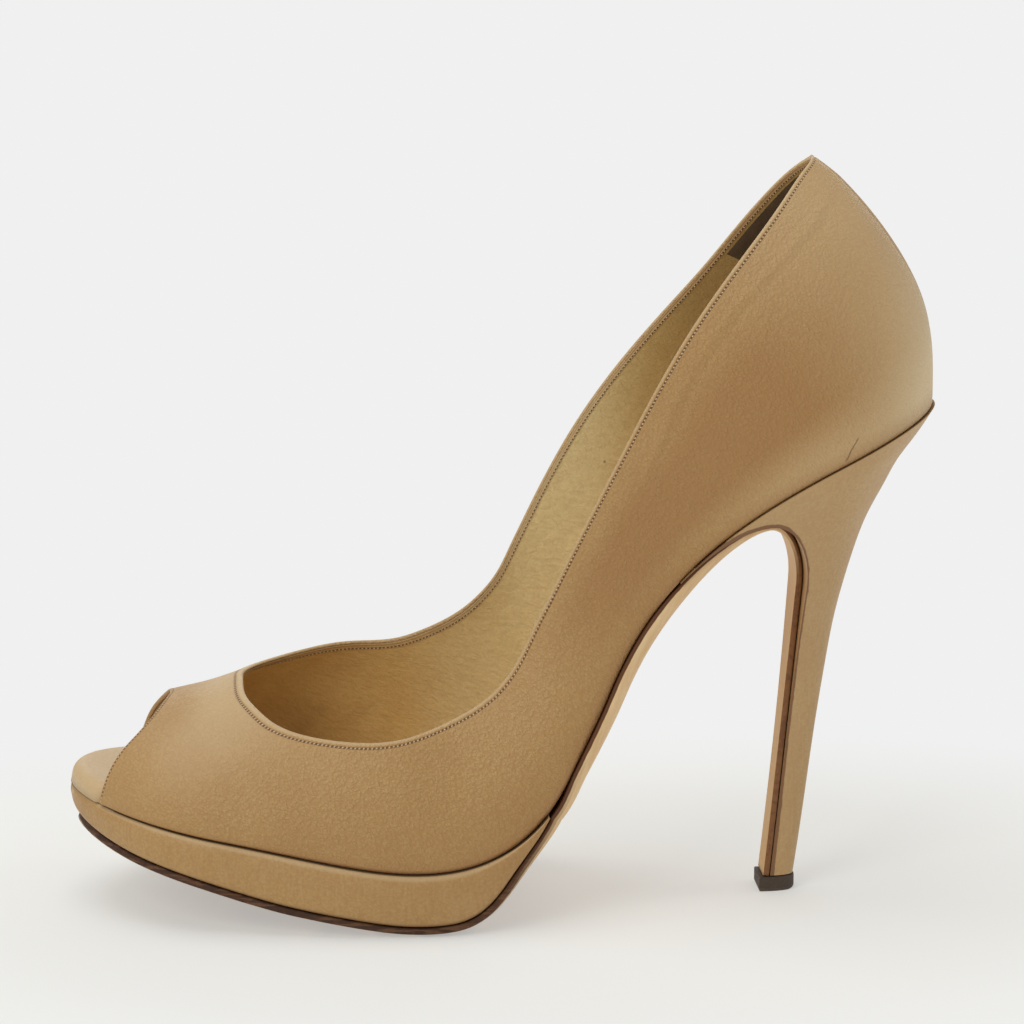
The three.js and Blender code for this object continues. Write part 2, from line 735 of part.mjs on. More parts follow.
function makeHeel() {
  const places = stations(alongOf(heelStart), 1, 16);
  const strip = (along, i, side) => {
    const w = placeOf(along, wall);
    const [x, y, z] = edgePoint(w, side, wall, -gap - boardDrop * boardShare(w / lastLength));
    const [tipX, tipY] = tipOutline(i / (places.length - 1), tipFront, tipDepth, tipWidth);
    const row = [];
    for (let level = 0; level <= heelLevels; level += 1) {
      const down = (level / heelLevels) ** 1.25;
      const flare = heelFlare(down);
      const narrow = heelNarrow(down);
      row.push([mix(tipX, x, flare), mix(side * tipY, y, narrow), mix(z, tipLevel, down)]);
    }
    return row;
  };
  const body = toSolid(ribbedSolid(
    places.map((along, i) => strip(along, i, 1)),
    places.map((along, i) => strip(along, i, -1)),
  ));
  const list = soleStations().filter((at) => at.x > spine(lastLength * (waistStart + 0.02)).x);
  const up = footward(list);
  const edge = list.map((at, i) => [at.x + up[i].x * gap, at.z + up[i].z * gap]);
  const [endX] = edge[edge.length - 1];
  const underArch = sideCutter([...edge, [endX, -beyond], [-beyond, -beyond], [-beyond, edge[0][1]]]);
  return toGeometry(body.subtract(underArch));
}

// Top piece: the tip's outline a little larger, under both heel and flap
function makeTopPiece() {
  const shape = new THREE.Shape();
  const front = tipFront - topPieceFlare * 3;
  const depth = tipBack + topPieceFlare - front;
  const width = tipWidth + 2 * topPieceFlare;
  const half = Array.from({ length: 11 }, (_, i) => tipOutline(i / 10, front, depth, width));
  half.forEach(([x, y], i) => (i === 0 ? shape.moveTo(x, -y) : shape.lineTo(x, -y)));
  half.slice(0, -1).reverse().forEach(([x, y]) => shape.lineTo(x, y));
  return new THREE.ExtrudeGeometry(shape, { depth: topPieceHeight, bevelEnabled: false });
}

const leather = { color: 0xa5835a, roughness: 0.5, metalness: 0 };
const finishes = {
  upper: leather,
  insole: { color: 0xb89a72, roughness: 0.55, metalness: 0 },
  platform: leather,
  outsole: { color: 0xb98b52, roughness: 0.6, metalness: 0 },
  heel: leather,
  top_piece: { color: 0x4a3d30, roughness: 0.8, metalness: 0 },
};

const shoe = new THREE.Group();

function addPiece(name, geometry) {
  const mesh = new THREE.Mesh(geometry, new THREE.MeshStandardMaterial(finishes[name]));
  mesh.name = name;
  shoe.add(mesh);
}

addPiece('upper', makeUpper());
addPiece('insole', makeInsole());
addPiece('platform', makePlatform());
addPiece('outsole', makeOutsole());
addPiece('heel', makeHeel());
addPiece('top_piece', makeTopPiece());

// The origin is the middle of the shoe's box, on the floor
const box = new THREE.Box3().setFromObject(shoe);
shoe.position.set(-(box.min.x + box.max.x) / 2, -(box.min.y + box.max.y) / 2, 0);

export default shoe;
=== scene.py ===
import math

import bmesh
import bpy
import numpy as np
from mathutils import Matrix, Vector


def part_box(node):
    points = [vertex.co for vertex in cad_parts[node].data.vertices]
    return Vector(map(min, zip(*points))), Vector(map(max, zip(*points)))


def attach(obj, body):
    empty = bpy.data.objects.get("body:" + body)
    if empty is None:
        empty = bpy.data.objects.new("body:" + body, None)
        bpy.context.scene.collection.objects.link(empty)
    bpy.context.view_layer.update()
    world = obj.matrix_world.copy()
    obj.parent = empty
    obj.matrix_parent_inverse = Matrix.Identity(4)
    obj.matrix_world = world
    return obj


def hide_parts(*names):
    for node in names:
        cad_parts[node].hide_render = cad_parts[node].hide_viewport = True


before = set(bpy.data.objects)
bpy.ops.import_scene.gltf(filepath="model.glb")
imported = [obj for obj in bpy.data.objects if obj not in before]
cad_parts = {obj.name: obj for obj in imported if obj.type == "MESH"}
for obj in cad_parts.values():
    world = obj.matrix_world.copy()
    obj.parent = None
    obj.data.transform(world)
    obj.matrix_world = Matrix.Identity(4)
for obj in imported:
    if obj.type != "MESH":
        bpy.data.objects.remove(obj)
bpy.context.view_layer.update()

MM = 0.001

# Last and wall sizes in millimetres, as the solids have them
last_length = 257
ball_width = 74.5
instep_height = 78
toe_pitch = 10.6
heel_rise = 107.4
toe_radius = 36
toe_cap_radius = 26
seat_radius = 27
counter_height = 85
counter_reach = 45
wall = 1.7
gap = 0.3
insole_front = 4.8
insole_back = 2.8
board_drop = 1.2
insole_edge_round = 3
platform_height = 12.8
platform_ledge = 0.7
platform_lean = 1.0
toe_lean = 2.6
toe_zone = 0.12
thin_edge = 0.5
sole_edge = 1.6
sole_crown = 3.2
sole_inset = 0.6
toe_inset = 1.2
tread_flat = 0.35
heel_undercut = 32.2
tip_depth = 8
tip_width = 9.6
flap_thickness = 1.5
breast_lean = 5.3
arch_reach = 10
arch_drop = 7.4
breast_corner = 17.4
top_piece_height = 3.7
top_piece_flare = 0.3


def table(names, rows):
    """Columns of a table by name, each a natural cubic spline over the first column."""
    names = names.split()
    columns = np.array(rows, float).T
    return {name: spline(columns[0], column) for name, column in zip(names[1:], columns[1:])}


def spline(xs, ys):
    count = len(xs)
    step = np.diff(xs)
    matrix = np.eye(count)
    right = np.zeros(count)
    for i in range(1, count - 1):
        matrix[i, i - 1:i + 2] = step[i - 1], 2 * (step[i - 1] + step[i]), step[i]
        right[i] = 6 * ((ys[i + 1] - ys[i]) / step[i] - (ys[i] - ys[i - 1]) / step[i - 1])
    bend = np.linalg.solve(matrix, right)

    def at(x):
        x = np.clip(x, xs[0], xs[-1])
        i = np.clip(np.searchsorted(xs, x, side="right") - 1, 0, count - 2)
        b = (x - xs[i]) / step[i]
        a = 1 - b
        curve = ((a ** 3 - a) * bend[i] + (b ** 3 - b) * bend[i + 1]) * step[i] ** 2 / 6
        return a * ys[i] + b * ys[i + 1] + curve

    return at


pitches = table("at toe arch", [
    (0.00, 1.00, 0.00), (0.10, 0.90, 0.00), (0.22, 0.97, 0.00), (0.36, 0.00, 0.13), (0.50, 0.00, 1.00),
    (0.64, 0.00, 0.945), (0.78, 0.00, 0.597), (0.90, 0.00, 0.445), (1.00, 0.00, 0.40),
])
tilts = table("at tilt", [
    (0.00, -10), (0.10, -8), (0.22, -4), (0.36, 5), (0.50, 18),
    (0.64, 30), (0.78, 32), (0.90, 27), (1.00, 22),
])
widths = table("at outer inner swing flare", [
    (0.00, 0.403, 0.403, 0.070, 0.020),
    (0.08, 0.443, 0.443, 0.048, 0.020),
    (0.18, 0.483, 0.483, 0.028, 0.020),
    (0.30, 0.510, 0.490, 0.000, 0.013),
    (0.42, 0.456, 0.416, -0.007, 0.013),
    (0.54, 0.362, 0.309, 0.000, 0.020),
    (0.66, 0.315, 0.275, 0.007, 0.027),
    (0.78, 0.322, 0.309, 0.007, 0.027),
    (0.90, 0.336, 0.329, 0.000, 0.027),
    (1.00, 0.336, 0.336, 0.000, 0.027),
])
heights = table("at height stand flat_outer flat_inner peak", [
    (0.00, 0.296, 0.55, 0.60, 0.60, 0.000),
    (0.08, 0.308, 0.50, 0.55, 0.58, 0.027),
    (0.18, 0.469, 0.45, 0.50, 0.55, 0.054),
    (0.30, 0.688, 0.42, 0.42, 0.50, 0.081),
    (0.42, 0.718, 0.42, 0.35, 0.42, 0.094),
    (0.54, 0.769, 0.45, 0.30, 0.35, 0.067),
    (0.66, 0.808, 0.50, 0.30, 0.32, 0.040),
    (0.78, 0.923, 0.55, 0.30, 0.30, 0.013),
    (0.90, 1.000, 0.60, 0.32, 0.32, 0.000),
    (1.00, 0.974, 0.60, 0.35, 0.35, 0.000),
])
backs = table("up out", [(0.00, 0.000), (0.18, 0.063), (0.41, 0.063), (0.73, -0.041), (1.00, -0.194)])
collar = table("at along outer inner", [
    (0.000, 0.2525, 0.0000, 0.0000),
    (0.070, 0.2550, 0.2000, 0.0640),
    (0.140, 0.2650, 0.3300, 0.1490),
    (0.210, 0.2810, 0.4440, 0.2220),
    (0.280, 0.3040, 0.5280, 0.2870),
    (0.360, 0.3400, 0.5860, 0.3570),
    (0.440, 0.3830, 0.5940, 0.3960),
    (0.510, 0.4290, 0.5570, 0.3310),
    (0.545, 0.4583, 0.5585, 0.3300),
    (0.580, 0.4900, 0.5850, 0.4000),
    (0.650, 0.5540, 0.6820, 0.5490),
    (0.720, 0.6200, 0.7100, 0.6020),
    (0.790, 0.6860, 0.6660, 0.6100),
    (0.860, 0.7600, 0.5810, 0.5770),
    (0.930, 0.8500, 0.4680, 0.4670),
    (0.960, 0.9100, 0.4040, 0.4040),
    (0.980, 0.9550, 0.3780, 0.3780),
    (1.000, 1.0000, 0.3680, 0.3680),
])
toe_edge = table("at along_outer along_inner outer inner", [
    (0.00, 0.1830, 0.1830, 0.000, 0.000),
    (0.16, 0.1770, 0.1822, 0.120, 0.130),
    (0.31, 0.1680, 0.1785, 0.244, 0.265),
    (0.52, 0.1490, 0.1690, 0.420, 0.430),
    (0.70, 0.1300, 0.1595, 0.575, 0.600),
    (0.85, 0.1165, 0.1530, 0.770, 0.800),
    (1.00, 0.1105, 0.1460, 1.000, 1.000),
])
platforms = table("at height", [
    (0.000, 0.47), (0.025, 0.57), (0.062, 0.67), (0.107, 0.74), (0.163, 0.865), (0.206, 0.935), (0.270, 0.96),
    (0.345, 1.00), (0.365, 0.95), (0.380, 0.80), (0.406, 0.42), (0.442, 0.13), (0.470, 0.00),
])
crowns = table("at crown", [
    (0.00, 0.20), (0.20, 0.34), (0.38, 0.40), (0.50, 0.80), (0.62, 0.95), (0.70, 1.00),
])
heel_rows = table("down flare width", [
    (0.000, 1.000, 1.000), (0.050, 0.885, 0.885), (0.100, 0.755, 0.765), (0.155, 0.650, 0.645),
    (0.220, 0.530, 0.510), (0.295, 0.430, 0.375), (0.365, 0.357, 0.270), (0.440, 0.290, 0.175),
    (0.545, 0.224, 0.085), (0.680, 0.152, 0.030), (0.820, 0.088, 0.008), (0.950, 0.026, 0.000),
    (1.000, 0.000, 0.000),
])
flaps = table("at side", [
    (0.00, 0.96), (0.12, 0.86), (0.24, 0.72), (0.34, 0.40), (0.46, 0.26), (0.62, 0.20), (1.00, 0.19),
])
toe_corner = {-1: 0.1105, 1: 0.1460}
toe_share = 10 / 46

# Places along the last, as shares of its length
platform_end = 0.47
waist_start = 0.52
board_start, board_full = 0.50, 0.58
arch_start = 0.665
heel_start = 0.705


def mix(a, b, share):
    return a + (b - a) * share


def ease(value, start, end):
    share = np.clip((value - start) / (end - start), 0, 1)
    return share * share * (3 - 2 * share)


def bump(value, middle, half):
    """A soft ridge, 1 in the middle and 0 beyond half a width."""
    return np.maximum(1 - ((value - middle) / half) ** 2, 0) ** 2


def sided(columns, side, at, kind=""):
    """Value in the outer or the inner column of a table, by side."""
    return np.where(np.asarray(side) < 0, columns[kind + "outer"](at), columns[kind + "inner"](at))


# Bottom line of the last, from the toe to the back of the seat
spine_steps = 400
trace_at = np.arange(spine_steps + 1) / spine_steps


def trace(arch_pitch):
    """Bottom line with its arch pitched by so many degrees."""
    pitch = np.radians(arch_pitch * pitches["arch"](trace_at) - toe_pitch * pitches["toe"](trace_at))
    middle = trace_at[:-1] + 0.5 / spine_steps
    slope = np.radians(arch_pitch * pitches["arch"](middle) - toe_pitch * pitches["toe"](middle))
    run = last_length / spine_steps
    x = np.concatenate([[0], np.cumsum(np.cos(slope)) * run])
    z = np.concatenate([[0], np.cumsum(np.sin(slope)) * run])
    return x, z, pitch


# The pitch that gives the heel its rise, found by halving
low, high = 5.0, 85.0
for _ in range(30):
    _, trace_z, _ = trace((low + high) / 2)
    if trace_z[-1] - trace_z.min() < heel_rise:
        low = (low + high) / 2
    else:
        high = (low + high) / 2
spine_x, spine_z, spine_pitch = trace((low + high) / 2)
lift = 0.0


def spine(w):
    share = np.clip(w / last_length, 0, 1)
    past = w - np.clip(w, 0, last_length)
    pitch = np.interp(share, trace_at, spine_pitch)
    x = np.interp(share, trace_at, spine_x) + past * np.cos(pitch)
    z = np.interp(share, trace_at, spine_z) + past * np.sin(pitch) + lift
    return x, z, pitch


def board_below(share):
    """How far the lower edge lies below the last's bottom, round the insole's board."""
    return board_drop * ease(share, board_start, board_full)


def platform_at(share):
    """Height of the platform."""
    return np.maximum(platform_height * np.maximum(platforms["height"](share), 0), thin_edge)


def side_lean(share):
    """How far the platform's side leans in towards the floor."""
    return mix(toe_lean, platform_lean, ease(share, 0, toe_zone))


def under_sole(share):
    """How far the sole's upper side lies below the last."""
    platform = 2 * gap + platform_at(share)
    drop = mix(platform, gap, ease(share, platform_end - 0.005, platform_end + 0.035))
    return drop + board_below(share)


# The tread stands on the floor
settle_at = np.linspace(0.2, 0.45, 201)
_, settle_z, settle_pitch = spine(settle_at * last_length)
settle_below = under_sole(settle_at) + sole_edge + sole_crown * crowns["crown"](settle_at)
lift = -np.min(settle_z - settle_below * np.cos(settle_pitch)) - tread_flat

# The tip of the heel, and the shift from the last's own place to the frame's
tip_back = spine(last_length + wall)[0] - heel_undercut
tip_front = tip_back - tip_depth
tip_level = top_piece_height + gap
piece_low, piece_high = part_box("top_piece")
shift = np.array([
    piece_low.x / MM - (tip_front - 3 * top_piece_flare),
    (piece_low.y + piece_high.y) / 2 / MM,
    0,
])


def bend_point(w, y, h):
    """Point at w along the last, y across and h above its bottom."""
    x, z, pitch = spine(w)
    lean = np.where(h > 0, np.radians(tilts["tilt"](w / last_length)), pitch)
    return np.stack(np.broadcast_arrays(x - h * np.sin(lean), y, z + h * np.cos(lean)), -1)


def nose(distance, radius, power):
    """Rounds off an end: 0 at it and 1 from a radius inward."""
    u = np.clip(1 - distance / radius, 0, 1)
    return np.maximum(1 - u ** power, 0) ** (1 / power)


def place_of(along, grow):
    """Place on the last in millimetres, for a share that runs slower at both ends."""
    return (last_length + 2 * grow) * (1 - np.cos(np.pi * along)) / 2 - grow


def along_of(share):
    return math.acos(1 - 2 * share) / math.pi


def rounded_ends(w, grow):
    """1 along the last, falling to 0 round its toe and its seat."""
    toe = nose(w + grow, toe_radius + grow, 2)
    return toe * nose(last_length + grow - w, seat_radius + grow, 2.1)


def half_width(w, side, grow):
    return rounded_ends(w, grow) * (sided(widths, side, w / last_length) * ball_width + grow)


def middle_of(w):
    return widths["swing"](np.clip(w / last_length, 0, 1)) * ball_width


def edge_point(w, side, grow, h):
    return bend_point(w, middle_of(w) + side * half_width(w, side, grow), h)


def last_point(along, side, rise, grow):
    """Point of the last's surface grown outward; rise is 1 at the sole and 0 on top."""
    w = place_of(along, grow)
    share = np.clip(w / last_length, 0, 1)
    half = half_width(w, side, grow)
    round_off = rounded_ends(w, grow)
    cap = nose(w + grow, toe_cap_radius + grow, 2.2)
    height = (heights["height"](share) * instep_height + grow) * cap
    flat = sided(heights, side, share, "flat_")
    t = 1 - rise
    sole = (1 - t) ** 3
    low = 3 * (1 - t) ** 2 * t
    high = 3 * (1 - t) * t * t
    top = t ** 3
    flare = round_off * widths["flare"](share) * ball_width
    lean = round_off * heights["peak"](share) * ball_width
    reach = side * (sole * half + low * (half + flare) + high * flat * half)
    y = middle_of(w) + reach + (high + top) * lean
    h = (low * heights["stand"](share) + high + top) * height - sole * board_below(w / last_length)
    near = ease(w, last_length - counter_reach, last_length)
    back = backs["out"](h / counter_height) * counter_height * near
    return bend_point(w + back, y, h)


def corner_at(side):
    return np.where(side < 0, toe_corner[-1], toe_corner[1])


def upper_line(k, side):
    """Ends of a line from the lower edge up to the collar; k runs from 0 at the ridge to 1 at the back."""
    on_toe = k <= toe_share
    at = np.clip(k / toe_share, 0, 1)
    past_toe = mix(corner_at(side), 1, (k - toe_share) / (1 - toe_share))
    along = np.where(on_toe, sided(toe_edge, side, at, "along_"), past_toe)
    rise = np.where(on_toe, sided(toe_edge, side, at), 1.0)
    return along, rise, collar["along"](k), sided(collar, side, k)


def upper_point(k, side, t, grow):
    """t runs from 0 at the lower edge to 1 at the collar."""
    along, rise, top_along, top_rise = upper_line(k, side)
    return last_point(mix(along, top_along, t), side, mix(rise, top_rise, t), grow)


# Length of each line of the upper, and the way gone round the collar
line_k = np.linspace(0, 1, 241)
line_t = np.linspace(0, 1, 25)
line_length = {}
collar_way = {}
for line_side in (-1, 1):
    points = upper_point(line_k[:, None], line_side, line_t[None, :], wall)
    line_length[line_side] = np.linalg.norm(np.diff(points, axis=1), axis=2).sum(1)
    steps = np.linalg.norm(np.diff(points[:, -1], axis=0), axis=1)
    collar_way[line_side] = np.concatenate([[0], np.cumsum(steps)])


def by_side(values, k, side):
    """What is kept for each line of the upper, read at k."""
    return np.where(side < 0, np.interp(k, line_k, values[-1]), np.interp(k, line_k, values[1]))


def mapped(name, across, along, place, notes=(), weld=1e-5):
    """A grid of faces bent by place(u, v), which gives points in millimetres and its notes by name."""
    form = bmesh.new()
    bmesh.ops.create_grid(form, x_segments=across, y_segments=along, size=0.5)
    flat = np.array([vert.co for vert in form.verts])
    points, values = place(flat[:, 0] + 0.5, flat[:, 1] + 0.5)
    points = (points + shift) * MM
    for note in notes:
        layer = form.verts.layers.float.new(note)
        for vert, value in zip(form.verts, values[note].tolist()):
            vert[layer] = value
    for vert, point in zip(form.verts, points.tolist()):
        vert.co = point
    bmesh.ops.remove_doubles(form, verts=form.verts, dist=weld)
    bmesh.ops.recalc_face_normals(form, faces=form.faces)
    return settled(name, form)


def settled(name, form):
    """The finished form as a piece of its own."""
    mesh = bpy.data.meshes.new(name)
    form.to_mesh(mesh)
    form.free()
    mesh.shade_smooth()
    piece = bpy.data.objects.new(name, mesh)
    bpy.context.scene.collection.objects.link(piece)
    return piece


def capped(piece):
    """Closes the open end of a piece."""
    form = bmesh.new()
    form.from_mesh(piece.data)
    bmesh.ops.holes_fill(form, edges=[edge for edge in form.edges if edge.is_boundary], sides=0)
    bmesh.ops.recalc_face_normals(form, faces=form.faces)
    form.to_mesh(piece.data)
    form.free()
    return piece


def ring_of(values):
    """Splits 0 to 1 into the outer side's way from the ridge to the back and the inner side's way home."""
    side = np.where(values <= 0.5, -1, 1)
    k = np.where(values <= 0.5, values * 2, (1 - values) * 2)
    return 1 - (1 - k) ** 1.3, side


stitch_pitch = 0.96
stitch_depth = 1.5
toe_depth = 1.0
seam_swing = 4.0
fold_thick = 1.0
lining_thick = 0.6
lining_inset = 1.06

# Rows that lie in millimetres from an end of a line, and the most of the line that they may take
low_zone, low_reach, low_most = [2.4, 3.4, 4.6], 5.0, 0.22
top_zone = [1.1, 1.3, 1.5, 1.7, 1.95, 2.4, 3.2, 4.4, 6.0, 7.4, 8.6, 9.8, 11.0, 12.2]
top_reach, top_most = 12.5, 0.42


def low_scale(length):
    """Less than 1 where a line is too short for the rows at its lower end."""
    return np.minimum(1, length * low_most / low_reach)


def top_scale(length):
    return np.minimum(1, length * top_most / top_reach)


# Profiles across the wall, from the outside over the edge to the inside: distance from the edge, depth
fold_profile = [
    (0.75, 0.00), (0.38, 0.03), (0.18, 0.13), (0.05, 0.30), (0.0, 0.50),
    (0.03, 0.72), (0.11, 0.90), (0.28, 0.99), (0.6, 1.0),
]
lining_profile = [
    (1.2, 0.00), (0.62, 0.02), (0.42, 0.12), (0.36, 0.30), (0.42, 0.48), (0.62, 0.58), (1.2, 0.60),
]
feather_profile = [
    (1.6, 0.00), (0.9, 0.10), (0.45, 0.30), (0.15, 0.60), (0.0, 0.90),
    (0.0, 0.96), (0.1, 0.99), (0.3, 1.0), (0.8, 1.0),
]


def wall_rows(edges, middle, outside, thick):
    """Rows round a wall: the end they start from, the share or the millimetres from it, and grow."""
    rows = []
    for distance, depth in reversed(edges):
        rows.append(("edge", distance, outside - depth * thick))
    for distance in low_zone:
        rows.append(("low", distance, outside))
    for share in middle:
        rows.append(("middle", share, outside))
    for distance in reversed(top_zone):
        rows.append(("top", distance, outside))
    for distance, depth in edges:
        rows.append(("top", distance, outside - depth * thick))
    for distance in top_zone:
        rows.append(("top", distance, outside - thick))
    for share in reversed(middle):
        rows.append(("middle", share, outside - thick))
    for distance in reversed(low_zone):
        rows.append(("low", distance, outside - thick))
    rows.append(rows[0])
    return rows


def toe_way(side, depth, grow):
    """Distance along a row beside the toe opening, from the ridge outwards."""
    ks = np.linspace(0, toe_share, 80)
    length = np.interp(ks, line_k, line_length[side])
    row = upper_point(ks, side, depth * low_scale(length) / length, grow)
    return ks, np.concatenate([[0], np.cumsum(np.linalg.norm(np.diff(row, axis=0), axis=1))])


toe_rows = {side: toe_way(side, toe_depth, wall) for side in (-1, 1)}


def toe_count(k, side):
    """Stitches of the toe row passed on the way to k."""
    counts = np.zeros(len(k))
    for sign, (ks, way) in toe_rows.items():
        passed = np.interp(k, ks, way) / way[-1] * int(way[-1] / stitch_pitch)
        counts = np.where(side == sign, passed, counts)
    return counts


def make_wall(name, edges, low_edges, outside, thick, columns, middle_count, relief=None):
    """Closed wall from the lower edge over the collar and back down inside."""
    middle = np.linspace(0, 1, middle_count + 2)[1:-1].tolist()
    rows = wall_rows(edges, middle, outside, thick)
    kinds = np.array([{"edge": 0, "low": 0, "middle": 1, "top": 2}[row[0]] for row in rows])
    amounts = np.array([row[1] for row in rows])
    grows = np.array([row[2] for row in rows])
    tuck = np.zeros((len(rows), 2))
    for i, (distance, depth) in enumerate(reversed(low_edges)):
        tuck[i] = distance - rows[i][1], outside - depth * thick - rows[i][2]
    tuck[-1] = tuck[0]
    count = len(rows) - 1

    def place(u, v):
        k, side = ring_of(u)
        index = np.rint(v * count).astype(int)
        length = by_side(line_length, k, side)
        zone_low = low_scale(length)
        zone_top = top_scale(length)
        tucked = ease(k, toe_share, toe_share + 0.012)
        from_low = (amounts[index] + tuck[index, 0] * tucked) * zone_low / length
        from_top = 1 - amounts[index] * zone_top / length
        start = low_reach * zone_low / length
        end = 1 - top_reach * zone_top / length
        between = mix(start, end, amounts[index])
        t = np.where(kinds[index] == 0, from_low, np.where(kinds[index] == 2, from_top, between))
        grow = grows[index] + tuck[index, 1] * tucked
        total = by_side(collar_way, 1.0, side)
        values = {
            "below_edge": (1 - t) * length,
            "above_sole": t * length,
            "stitch": by_side(collar_way, k, side) / total * np.floor(total / stitch_pitch),
            "toe": toe_count(k, side),
            "at": k,
            "up": t,
            "seam": side * (1 - k) * total + seam_swing * np.sin(np.pi * np.clip(t, 0, 1)),
        }
        if relief is not None:
            grow = grow + relief(k, side, t, length, grow, values["seam"])
        return upper_point(k, side, t, grow), values

    notes = ("below_edge", "above_sole", "stitch", "toe", "at", "up", "seam")
    return mapped(name, columns, count, place, notes)


def leather_relief(k, side, t, length, grow, from_seam):
    """Low forms of the upper: the pull of the stitches, the long crease and the back seam."""
    outside = grow > wall - 0.5
    below = (1 - t) * length
    stitches = -0.09 * bump(below, stitch_depth, 0.45) + 0.03 * bump(below, 0.75, 0.5)
    crease_at = 10.2 + 2.2 * np.sin(k * 21)
    crease = 0.26 * bump(below, crease_at - 1.2, 1.5) - 0.28 * bump(below, crease_at + 0.6, 1.2)
    crease = crease * (side < 0) * ease(k, 0.70, 0.78) * (1 - ease(k, 0.93, 0.985))
    hollow = -0.5 * bump(k, 0.62, 0.10) * bump(t, 0.55, 0.45)
    seam = 0.16 * bump(from_seam, 1.1, 1.6) - 0.40 * bump(from_seam, 0.0, 0.7)
    return np.where(outside, stitches + crease + hollow + seam, 0)


upper = make_wall("upper_leather", fold_profile, feather_profile, wall, fold_thick, 560, 34, leather_relief)
lining = make_wall("lining", lining_profile, lining_profile, wall - lining_inset, lining_thick, 400, 24)


def make_heel_grip():
    """Thin suede patch round the back of the lining, its edges pressed down on it."""
    across, along = 96, 44
    reach = 0.116
    rim_depth, thick = 1.62, 0.34

    def place(u, v):
        spot = np.rint(u * across)
        inward = np.minimum(spot, across - spot)
        side = np.where(u <= 0.5, -1, 1)
        k = 1 - reach * np.abs(1 - 2 * u)
        row = np.rint(v * along)
        level = np.minimum(row, along - row)
        low = mix(0.36, 0.05, ease(k, 1 - reach, 1 - 0.6 * reach))
        length = by_side(line_length, k, side)
        t = mix(low, 1 - 2.4 / length, v)
        rim = np.minimum(np.minimum(inward, level), 2) / 2
        return upper_point(k, side, t, wall - rim_depth - thick * rim), {}

    return mapped("heel_grip", across, along, place)


heel_grip = make_heel_grip()


def make_insole():
    """Puffed over its rolled front, flush with the upper in the toe opening and inside it behind."""
    flat = 0.80
    under_round = 0.5

    def place(u, v):
        angle = v * 2 * np.pi
        side = np.where(np.sin(angle) < 0, -1.0, 1.0)
        corner = corner_at(side)
        outline = mix(wall, -gap, ease(u, corner - 0.006, corner))
        across = np.abs(np.sin(angle))
        top = np.cos(angle) >= 0
        share = np.clip(place_of(u, outline) / last_length, 0, 1)
        thick = mix(insole_front, insole_back, ease(share, 0.06, 0.22))
        round_by = insole_edge_round * thick / insole_front
        turn = np.clip((across - flat) / (1 - flat), 0, 1) * np.pi / 2
        inset = np.where(top, round_by, under_round) * (1 - np.sin(turn))
        scale = np.clip(across / flat, 0, 1)
        w = place_of(u, outline - inset)
        y = middle_of(w) + side * half_width(w, side, outline - inset) * scale
        up = np.where(top, thick - round_by * (1 - np.cos(turn)), -board_below(w / last_length))
        return bend_point(w, y, up), {"across": scale}

    return mapped("insole_cover", 260, 96, place, ("across",))


insole = make_insole()


def make_platform():
    # Share of the way out from the middle, inset from the ledge, and level below the top
    profile = [
        (0.0, 0, 0), (0.5, 0, 0), (0.92, 0, 0), (1, 1.4, 0.0),
        (1, 0.75, 0.03), (1, 0.3, 0.10), (1, 0.06, 0.20), (1, 0.0, 0.32),
        *[(1, 0.0, level) for level in np.linspace(0.4, 0.8, 6)],
        (1, 0.05, 0.88), (1, 0.25, 0.95), (1, 0.7, 0.99), (1, 1.3, 1.0),
        (0.9, 1.3, 1.0), (0.5, 1.3, 1.0), (0.0, 1.3, 1.0),
    ]
    out, inset, level = np.array(profile, float).T
    count = len(profile) - 1
    ring = 2 * count
    full_round = 6

    def place(u, v):
        index = np.rint(v * ring).astype(int)
        side = np.where(index <= count, -1.0, 1.0)
        row = np.where(index <= count, index, ring - index)
        along = u * along_of(platform_end - 0.01)
        share = np.clip(place_of(along, wall) / last_length, 0, 1)
        sloped = np.interp(level[row], [0, 0.35, 0.75, 0.93, 1], [0, 0.1, 0.45, 0.75, 1])
        soft = np.minimum(platform_at(share) / full_round, 1)
        ledge = platform_ledge * ease(share, 0, toe_zone)
        grow = wall + ledge - side_lean(share) * sloped - inset[row] * soft
        w = place_of(along, grow)
        h = -gap - level[row] * platform_at(w / last_length)
        y = middle_of(w) + side * half_width(w, side, grow) * out[row]
        return bend_point(w, y, h), {"level": level[row]}

    return mapped("platform_cover", 220, ring, place, ("level",))


platform = capped(make_platform())


def sole_point(w):
    """Point of the sole's upper side, in the plane of the last's bottom line."""
    x, z, pitch = spine(w)
    h = -under_sole(w / last_length)
    return x - h * np.sin(pitch), z + h * np.cos(pitch)


def spine_level(x):
    return spine(np.interp(x, spine_x, trace_at) * last_length)[1]


def curve_points(corners, count):
    """Even points along a Bezier curve."""
    t = np.linspace(0, 1, 400)[:, None]
    corners = np.array(corners, float)
    if len(corners) == 4:
        weights = np.hstack([(1 - t) ** 3, 3 * (1 - t) ** 2 * t, 3 * (1 - t) * t * t, t ** 3])
    else:
        weights = np.hstack([(1 - t) ** 2, 2 * (1 - t) * t, t * t])
    points = weights @ corners
    way = np.concatenate([[0], np.cumsum(np.linalg.norm(np.diff(points, axis=0), axis=1))])
    wanted = np.linspace(0, way[-1], count + 1)
    return np.column_stack([np.interp(wanted, way, points[:, i]) for i in (0, 1)]), way[-1]


